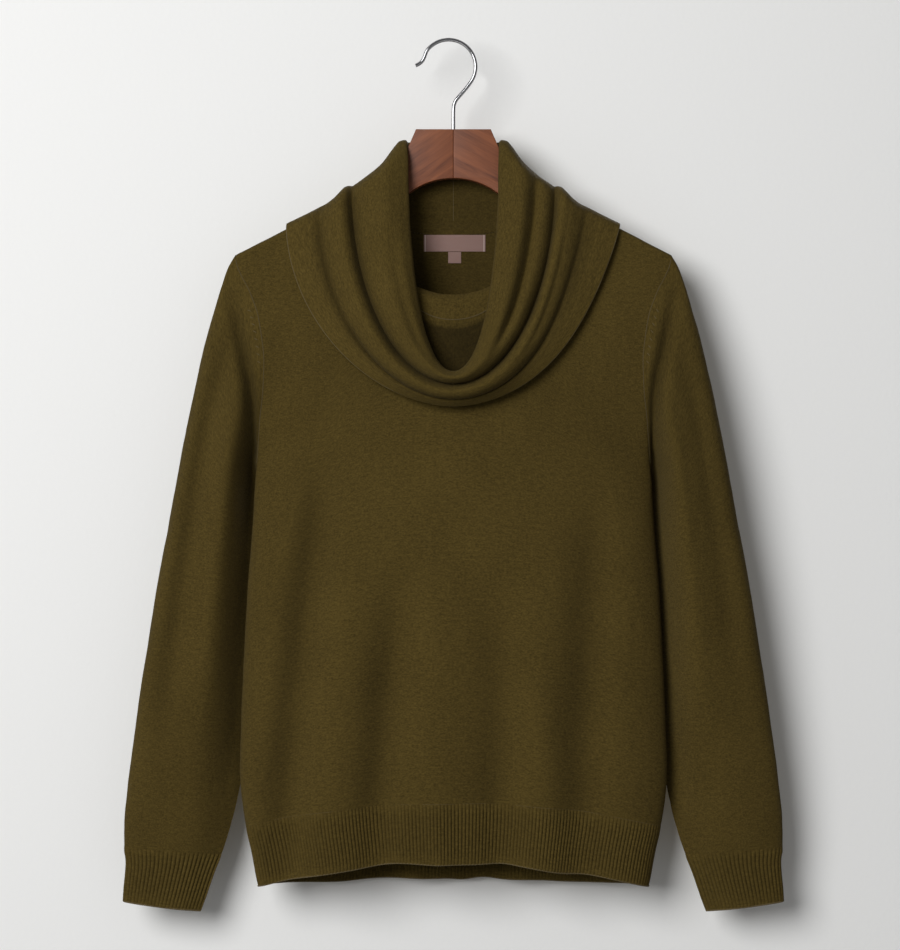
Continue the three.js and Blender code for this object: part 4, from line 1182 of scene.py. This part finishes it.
def satin_strip(name, size, top_edge, bow, node, borders):
    """A bare strip of satin on the back panel. Borders is 1 for a pale line near each end, or 0."""
    grid = label_grid(size["width"], size["height"], top_edge, bow)
    reach = size["width"] / 2 - np.abs(grid[..., 0] - LABEL_X)
    line = bell(reach - 1.4, 0.32) * borders
    piece = cloth_grid(name, moved(grid), extra={"border": line})
    faces_out(piece, (CENTRE_X, 60, -190))
    thick(piece, 0.5, -1.0)
    made_plain(piece, satin)
    declare(piece, [node])


satin_strip("satin_label", LABEL, LABEL_TOP, 0.9, "neck_label", 1)
satin_strip("satin_size_tab", TAB, LABEL_TOP - LABEL["height"] - SEAM, 0.2, "size_tab", 0)

# %% [markdown]
# ## Seams and stitches
#
# Set-in sleeves of a good pullover are linked on, and short slanting marks beside the seam show where
# stitches were taken in. One Geometry Nodes tree lays small rounded stitches along a line that is given as a
# row of points with the cloth's outward direction. It serves every seam of the garment.


# %% Stitch tree
stitch_tree, source, target, stitch_inputs = geometry_tree(
    "stitches_along_a_line", {"Length": "Float", "Width": "Float", "Turn": "Float", "Thread": "Material"}
)
along = attribute(stitch_tree, "along", "FLOAT_VECTOR")
up = attribute(stitch_tree, "outward", "FLOAT_VECTOR")
laid = add(stitch_tree, "FunctionNodeAlignEulerToVector", {"axis": "X"}, Vector=along).outputs[0]
upright = {"axis": "Z", "pivot_axis": "X"}
stood = add(stitch_tree, "FunctionNodeAlignEulerToVector", upright, Rotation=laid, Vector=up)
turned = add(stitch_tree, "FunctionNodeRotateEuler", {"rotation_type": "AXIS_ANGLE", "space": "LOCAL"})
fill(turned, Rotation=stood.outputs[0], Axis=(0, 0, 1), Angle=source["Turn"])
ball = add(stitch_tree, "GeometryNodeMeshUVSphere", Segments=8, Rings=5, Radius=1.0)
size = add(stitch_tree, "ShaderNodeCombineXYZ")
for axis, input_name, part in (("X", "Length", 0.5), ("Y", "Width", 0.5), ("Z", "Width", 0.42)):
    put(stitch_tree, size.inputs[axis], calc(stitch_tree, "MULTIPLY", source[input_name], part))
placed = add(stitch_tree, "GeometryNodeInstanceOnPoints", Points=source["Geometry"], Instance=ball.outputs[0])
fill(placed, Rotation=turned.outputs[0], Scale=size.outputs[0])
end_tree(stitch_tree, placed.outputs[0], source["Thread"], target)

# %% Thread
thread, tree, shader = material("olive_thread")
twist = add(tree, "ShaderNodeTexNoise", Vector=object_place(tree), Scale=2600.0, Detail=2.0)
tone = blend_colour(tree, twist.outputs["Fac"], (0.05, 0.034, 0.009, 1), (0.11, 0.078, 0.025, 1))
fill(shader, Base_Color=tone, Roughness=0.85)
bump(tree, shader, twist.outputs["Fac"], 0.0001)


def stitched(name, lines, length, width, turn):
    """Stitches at the points of lines, each given with the cloth's outward directions."""
    places, alongs, outs = [], [], []
    for line, up in lines:
        places.append(line)
        alongs.append(unit(np.gradient(line, axis=0)))
        outs.append(np.broadcast_to(up, line.shape))
    mesh = bpy.data.meshes.new(name)
    mesh.from_pydata((np.concatenate(places) * MM).tolist(), [], [])
    for label, values in (("along", alongs), ("outward", outs)):
        layer = mesh.attributes.new(label, "FLOAT_VECTOR", "POINT")
        layer.data.foreach_set("vector", np.concatenate(values).astype(np.float32).ravel())
    piece = link(name, mesh)
    sizes = {"Length": length * MM, "Width": width * MM, "Turn": turn}
    run_tree(piece, stitch_tree, stitch_inputs, **sizes, Thread=thread)
    made_plain(piece)
    declare(piece, [])


# %% Lines on a panel
def surface_line(face, across, z, lift):
    """Points just above a panel, with its outward directions."""
    across, z = np.broadcast_arrays(np.asarray(across, float), np.asarray(z, float))
    inside = np.clip(across, -0.998, 0.998)
    alongs = body(face, inside + 1e-3, z) - body(face, inside - 1e-3, z)
    downs = body(face, inside, z - 0.2) - body(face, inside, z + 0.2)
    normal = outward(alongs, downs, TOWARD[face])
    return body(face, across, z) + normal * lift, normal


# %% Armhole seams and fashioning marks
lines = []
for face in TOWARD:
    z = mix(TIP_Z, UNDERARM_Z, np.linspace(0.03, 1.0, 132))
    for side in (-1, 1):
        line, normal = surface_line(face, side * np.ones_like(z), z, 0.1)
        line[:, 0] += side * SEAM / 2
        lines.append((moved(line), normal))
stitched("armhole_linking", lines, length=2.0, width=0.75, turn=0.5)

MARKS = 8
lines = []
for side in (-1, 1):
    row = np.full(MARKS, 0.6)
    turns = np.linspace(0.165, 0.25, MARKS)
    line = sleeve(turns, row)
    normal = outward(sleeve(turns + 0.003, row) - line, sleeve(turns, row + 0.1) - line, -1)
    flip = np.array([side, 1, 1])
    lines.append((moved((line + normal * 0.15) * flip), normal * flip))
stitched("fashioning_marks", lines, length=4.2, width=0.9, turn=0.9)

# %% Hem, side and shoulder seams
lines = []
for face in TOWARD:
    across = np.linspace(-0.985, 0.985, 330)
    line, normal = surface_line(face, across, rib_top_z(face, across * HEM_CORNER_X), -0.15)
    lines.append((moved(line), normal))
stitched("rib_linking", lines, length=1.4, width=0.5, turn=0.0)

lines = []
for side in (-1, 1):
    z = np.linspace(UNDERARM_Z + 1.5, HEM_CORNER_Z + 4, 262)
    line = (body("front", side * np.ones_like(z), z) + body("back", side * np.ones_like(z), z)) / 2
    line[:, 0] -= side * 0.35
    lines.append((moved(line), np.array([side, 0, 0])))
stitched("side_seams", lines, length=1.7, width=0.7, turn=0.0)

lines = []
for side in (-1, 1):
    x = side * np.linspace(NECK_HALF_WIDTH + 1, 205, 74)
    up = np.array([side * SHOULDER_SLOPE, 0, 1]) / math.hypot(1, SHOULDER_SLOPE)
    lines.append((moved(points(x, 0, shoulder_z(x) - 0.4)), up))
stitched("shoulder_seams", lines, length=1.7, width=0.7, turn=0.0)

# %% Seams of the collar
even = np.linspace(0, 2 * math.pi, 340, endpoint=False)
angle = even + NECK_WARP * np.sin(2 * even)
foot = collar_foot(angle, 0.0)
around = np.roll(foot, -1, axis=0) - np.roll(foot, 1, axis=0)
normal = outward(around, collar_foot(angle, 0.06) - foot, np.where(np.cos(angle) >= 0, -1, 1)[:, None])
lines = [(moved(foot + normal * 0.75), normal), (moved(foot - normal * 0.75), -normal)]
stitched("neck_linking", lines, length=1.7, width=0.8, turn=0.35)

FORWARD = np.array([0, -1, 0])
rows = np.linspace(1.3, 7.2, 60)
line = collar_ring(np.full_like(rows, math.pi), rows) + FORWARD * (COLLAR_THICKNESS / 2 + 0.15)
stitched("centre_back_seam", [(moved(line), FORWARD)], length=1.5, width=0.7, turn=0.0)

turns = np.linspace(-0.75, 0.75, 110)
line = collar_ring(turns, np.full_like(turns, 2.95)) + FORWARD * (COLLAR_THICKNESS / 2 + 0.1)
stitched("inner_linking", [(moved(line), FORWARD)], length=1.7, width=0.9, turn=0.5)

# %% [markdown]
# ## Edges
#
# The free edge of the collar is bound off in a thin round bead, a little lighter because it catches the
# light. A Geometry Nodes tree sweeps a circle along the edge line. The hem and the cuffs end in the same
# bead.

# %% Bead tree
bead_tree, source, target, bead_inputs = geometry_tree(
    "bead_along_an_edge", {"Radius": "Float", "Cloth": "Material"}
)
curve = add(bead_tree, "GeometryNodeMeshToCurve", Mesh=source["Geometry"])
circle = add(bead_tree, "GeometryNodeCurvePrimitiveCircle", Resolution=10, Radius=source["Radius"])
swept = add(bead_tree, "GeometryNodeCurveToMesh", Curve=curve.outputs[0], Profile_Curve=circle.outputs[0])
end_tree(bead_tree, swept.outputs[0], source["Cloth"], target)


def beaded(name, line, closed, radius):
    """A round bead along a line of points in millimetres."""
    count = len(line)
    pairs = [(i, (i + 1) % count) for i in range(count if closed else count - 1)]
    mesh = bpy.data.meshes.new(name)
    mesh.from_pydata((line * MM).tolist(), pairs, [])
    piece = link(name, mesh)
    run_tree(piece, bead_tree, bead_inputs, Radius=radius * MM, Cloth=thread)
    made_plain(piece)
    declare(piece, [])


# %% Edges of the collar, the hem and the cuffs
last_rings = np.full_like(angle, LAST_RING)
edge_line = clear_of_body(collar_ring(angle, last_rings), last_rings)
beaded("collar_edge", moved(edge_line), closed=True, radius=0.95)

for face in TOWARD:
    across = -np.cos(math.pi * np.linspace(0.012, 0.988, 260))
    line = body(face, across, hem_z(face, across * HEM_CORNER_X))
    line = line - np.array([0, TOWARD[face] * RIB_THICKNESS / 2, 0])
    beaded(face + "_hem_edge", moved(line), closed=False, radius=0.85)

for label, side in SIDES.items():
    turns = np.linspace(0, 1, 160, endpoint=False)
    line = sleeve(turns, LAST_ROW)
    line = line + unit(line.mean(axis=0) - line) * RIB_THICKNESS / 2
    beaded("cuff_edge_" + label, on_side(line, side), closed=True, radius=0.85)

# %% [markdown]
# ## The hanger
#
# Two walnut halves are glued in the middle, so the grain runs down and outward on each side of the joint. A
# filled curve with a small bevel gives the crisp rounded edges of planed wood, and the grain is one shader
# group, turned to each arm's direction.

# %% Walnut
walnut_grain, source, target = group(
    "walnut_grain",
    {"Lean": 0.5, "Pale": (0.238, 0.076, 0.0285, 1), "Dark": (0.09, 0.0245, 0.0096, 1)},
    {"Colour": "NodeSocketColor", "Height": "NodeSocketFloat"},
)
place = add(walnut_grain, "ShaderNodeVectorRotate", {"rotation_type": "Y_AXIS"})
fill(place, Vector=object_place(walnut_grain), Angle=source["Lean"])


def grain_noise(scale, detail, distortion):
    """Noise in the wood, with its scales per metre across, through and along the grain's lines."""
    stretch = add(walnut_grain, "ShaderNodeMapping", Vector=place.outputs[0], Scale=scale)
    noise = add(walnut_grain, "ShaderNodeTexNoise", Vector=stretch.outputs[0], Scale=1.0)
    fill(noise, Detail=detail, Roughness=0.6, Distortion=distortion)
    return noise.outputs["Fac"]


rings = grain_noise((14, 40, 150), 3.0, 0.8)
pores = grain_noise((70, 700, 1400), 2.0, 0.0)
cloudy = grain_noise((12, 20, 30), 1.0, 0.3)
share = 0.55
for pattern, amount in ((rings, 1.7), (pores, 0.6), (cloudy, 0.6)):
    share = vary(walnut_grain, share, pattern, amount)
limited = add(walnut_grain, "ShaderNodeClamp", Value=share)
wood_colour = blend_colour(walnut_grain, limited.outputs[0], source["Dark"], source["Pale"])
walnut_grain.links.new(wood_colour, target["Colour"])
height = calc(walnut_grain, "ADD", pores, calc(walnut_grain, "MULTIPLY", rings, 0.4))
walnut_grain.links.new(height, target["Height"])


def walnut(name, lean):
    """Walnut whose grain leans by an angle, in radians."""
    made, tree, shader = material(name)
    grain = add(tree, "ShaderNodeGroup", {"node_tree": walnut_grain}, Lean=lean)
    fill(shader, Base_Color=grain.outputs["Colour"], Roughness=0.5, Specular_IOR_Level=0.3)
    fill(shader, Coat_Weight=0.08, Coat_Roughness=0.3)
    bump(tree, shader, grain.outputs["Height"], 0.00012)
    return made


# %% Wooden halves
HANGER = {"half": 6.5, "bevel": 0.9, "top_z": -84, "top_half_width": 35.5, "joint": 0.0}
ARM_GAP = 3.1
ARM_END_X = 198
ARCH = {"apex_z": -130.5, "half_width": 45, "radius": 70}


def bezier(count, *corners):
    """Points of a Bezier curve after its first corner."""
    t = np.linspace(0, 1, count + 1)[1:, None]
    layer = [np.array(corner, float) for corner in corners]
    while len(layer) > 1:
        layer = [mix(a, b, t) for a, b in zip(layer, layer[1:])]
    return layer[0]


def arm_top_z(x):
    """The height of the hanger's arm, a little below the shoulder line."""
    return float(shoulder_z(x)) - ARM_GAP


def hanger_outline():
    """The outline of the right half, from the top of its joint round to the foot of its joint."""
    end = ARM_END_X
    rise = math.asin(ARCH["half_width"] / ARCH["radius"])
    swing = rise * (1 - np.linspace(0, 1, 17))[1:]
    arch_x = np.maximum(HANGER["joint"], ARCH["radius"] * np.sin(swing))
    arch_z = ARCH["apex_z"] - ARCH["radius"] * (1 - np.cos(swing))
    return np.concatenate([
        [(HANGER["joint"], HANGER["top_z"]), (HANGER["top_half_width"], HANGER["top_z"]), (45.5, -107)],
        bezier(14, (45.5, -107), (52, -116), (68, -135.5), (98, arm_top_z(98) - 1)),
        [(end - 4, arm_top_z(end - 4))],
        bezier(5, (end - 4, arm_top_z(end - 4)), (end, arm_top_z(end)), (end, arm_top_z(end) - 7)),
        bezier(5, (end, arm_top_z(end) - 7), (end, -217), (end - 8, -215)),
        bezier(16, (end - 8, -215), (150, -200), (80, -168), (ARCH["half_width"], -146)),
        np.stack([arch_x, arch_z], axis=-1),
    ])


def wooden_half(label, side, finish):
    """One half of the hanger from its outline, as a filled curve with a bevel."""
    curve = bpy.data.curves.new("hanger_wood_" + label, "CURVE")
    curve.dimensions = "2D"
    curve.fill_mode = "BOTH"
    curve.extrude = (HANGER["half"] - HANGER["bevel"]) * MM
    curve.bevel_depth = HANGER["bevel"] * MM
    curve.bevel_resolution = 3
    curve.offset = -HANGER["bevel"] * MM
    outline = hanger_outline() * MM
    outline[:, 0] = side * outline[:, 0]
    spline = curve.splines.new("POLY")
    spline.points.add(len(outline) - 1)
    for point, (x, z) in zip(spline.points, outline):
        point.co = (x + CENTRE_X * MM, z, 0, 1)
    spline.use_cyclic_u = True
    mesh = mesh_of_curve("hanger_outline_" + label, curve)
    mesh.transform(Matrix.Rotation(math.radians(90), 4, "X"))
    piece = link("hanger_wood_" + label, mesh)
    weld = piece.modifiers.new("weld", "WELD")
    weld.merge_threshold = 0.00002
    made_plain(piece)
    faces_out(piece, (CENTRE_X + side * 60, 0, -128))
    piece.data.set_sharp_from_angle(angle=math.radians(34))
    piece.data.materials.clear()
    piece.data.materials.append(finish)
    declare(piece, [f"hanger_{label}_half"])


wooden_half("right", 1, walnut("walnut_right", -0.5))
wooden_half("left", -1, walnut("walnut_left", 0.62))

# %% [markdown]
# ## The hook
#
# A bent steel wire with a chrome finish. It is a curve with a round bevel and a rounded tip, turned into a
# mesh.

# %% Hook
chrome, tree, shader = material("chrome_wire")
polish = add(tree, "ShaderNodeTexNoise", Vector=object_place(tree), Scale=900.0, Detail=3.0)
roughness = calc(tree, "MULTIPLY_ADD", polish.outputs["Fac"], 0.08, 0.07)
fill(shader, Base_Color=(0.3, 0.3, 0.31, 1), Metallic=1.0, Roughness=roughness)

HOOK_WIRE = 1.8
HOOK_RADIUS = 25.7
HOOK_CENTRE = (-CENTRE_X, HOOK_WIRE - HOOK_RADIUS)
HOOK_TIP = [(-35.9, -22.8), (-31.5, -21.2), (-28, -17)]
HOOK_STEM = [(9.4, -48), (2.8, -54.8), (0.5, -59.5), (0, -65), (0, -72), (0, -98)]
swing = np.radians(np.linspace(147, -38, 25))
arc = HOOK_CENTRE + HOOK_RADIUS * np.stack([np.cos(swing), np.sin(swing)], axis=-1)
route = np.concatenate([HOOK_TIP, arc, HOOK_STEM])

curve = bpy.data.curves.new("hook_line", "CURVE")
curve.dimensions = "3D"
curve.bevel_depth = HOOK_WIRE * MM
curve.bevel_resolution = 6
curve.resolution_u = 8
curve.use_fill_caps = True
spline = curve.splines.new("NURBS")
spline.points.add(len(route) - 1)
for point, (x, z) in zip(spline.points, route):
    point.co = ((x + CENTRE_X) * MM, 0, z * MM, 1)
spline.order_u = 4
spline.use_endpoint_u = True
mesh = mesh_of_curve("hook_wire_line", curve)
mesh.materials.clear()
mesh.materials.append(chrome)
mesh.shade_smooth()
hook = link("hook_wire", mesh)
declare(hook, ["hanger_hook"])
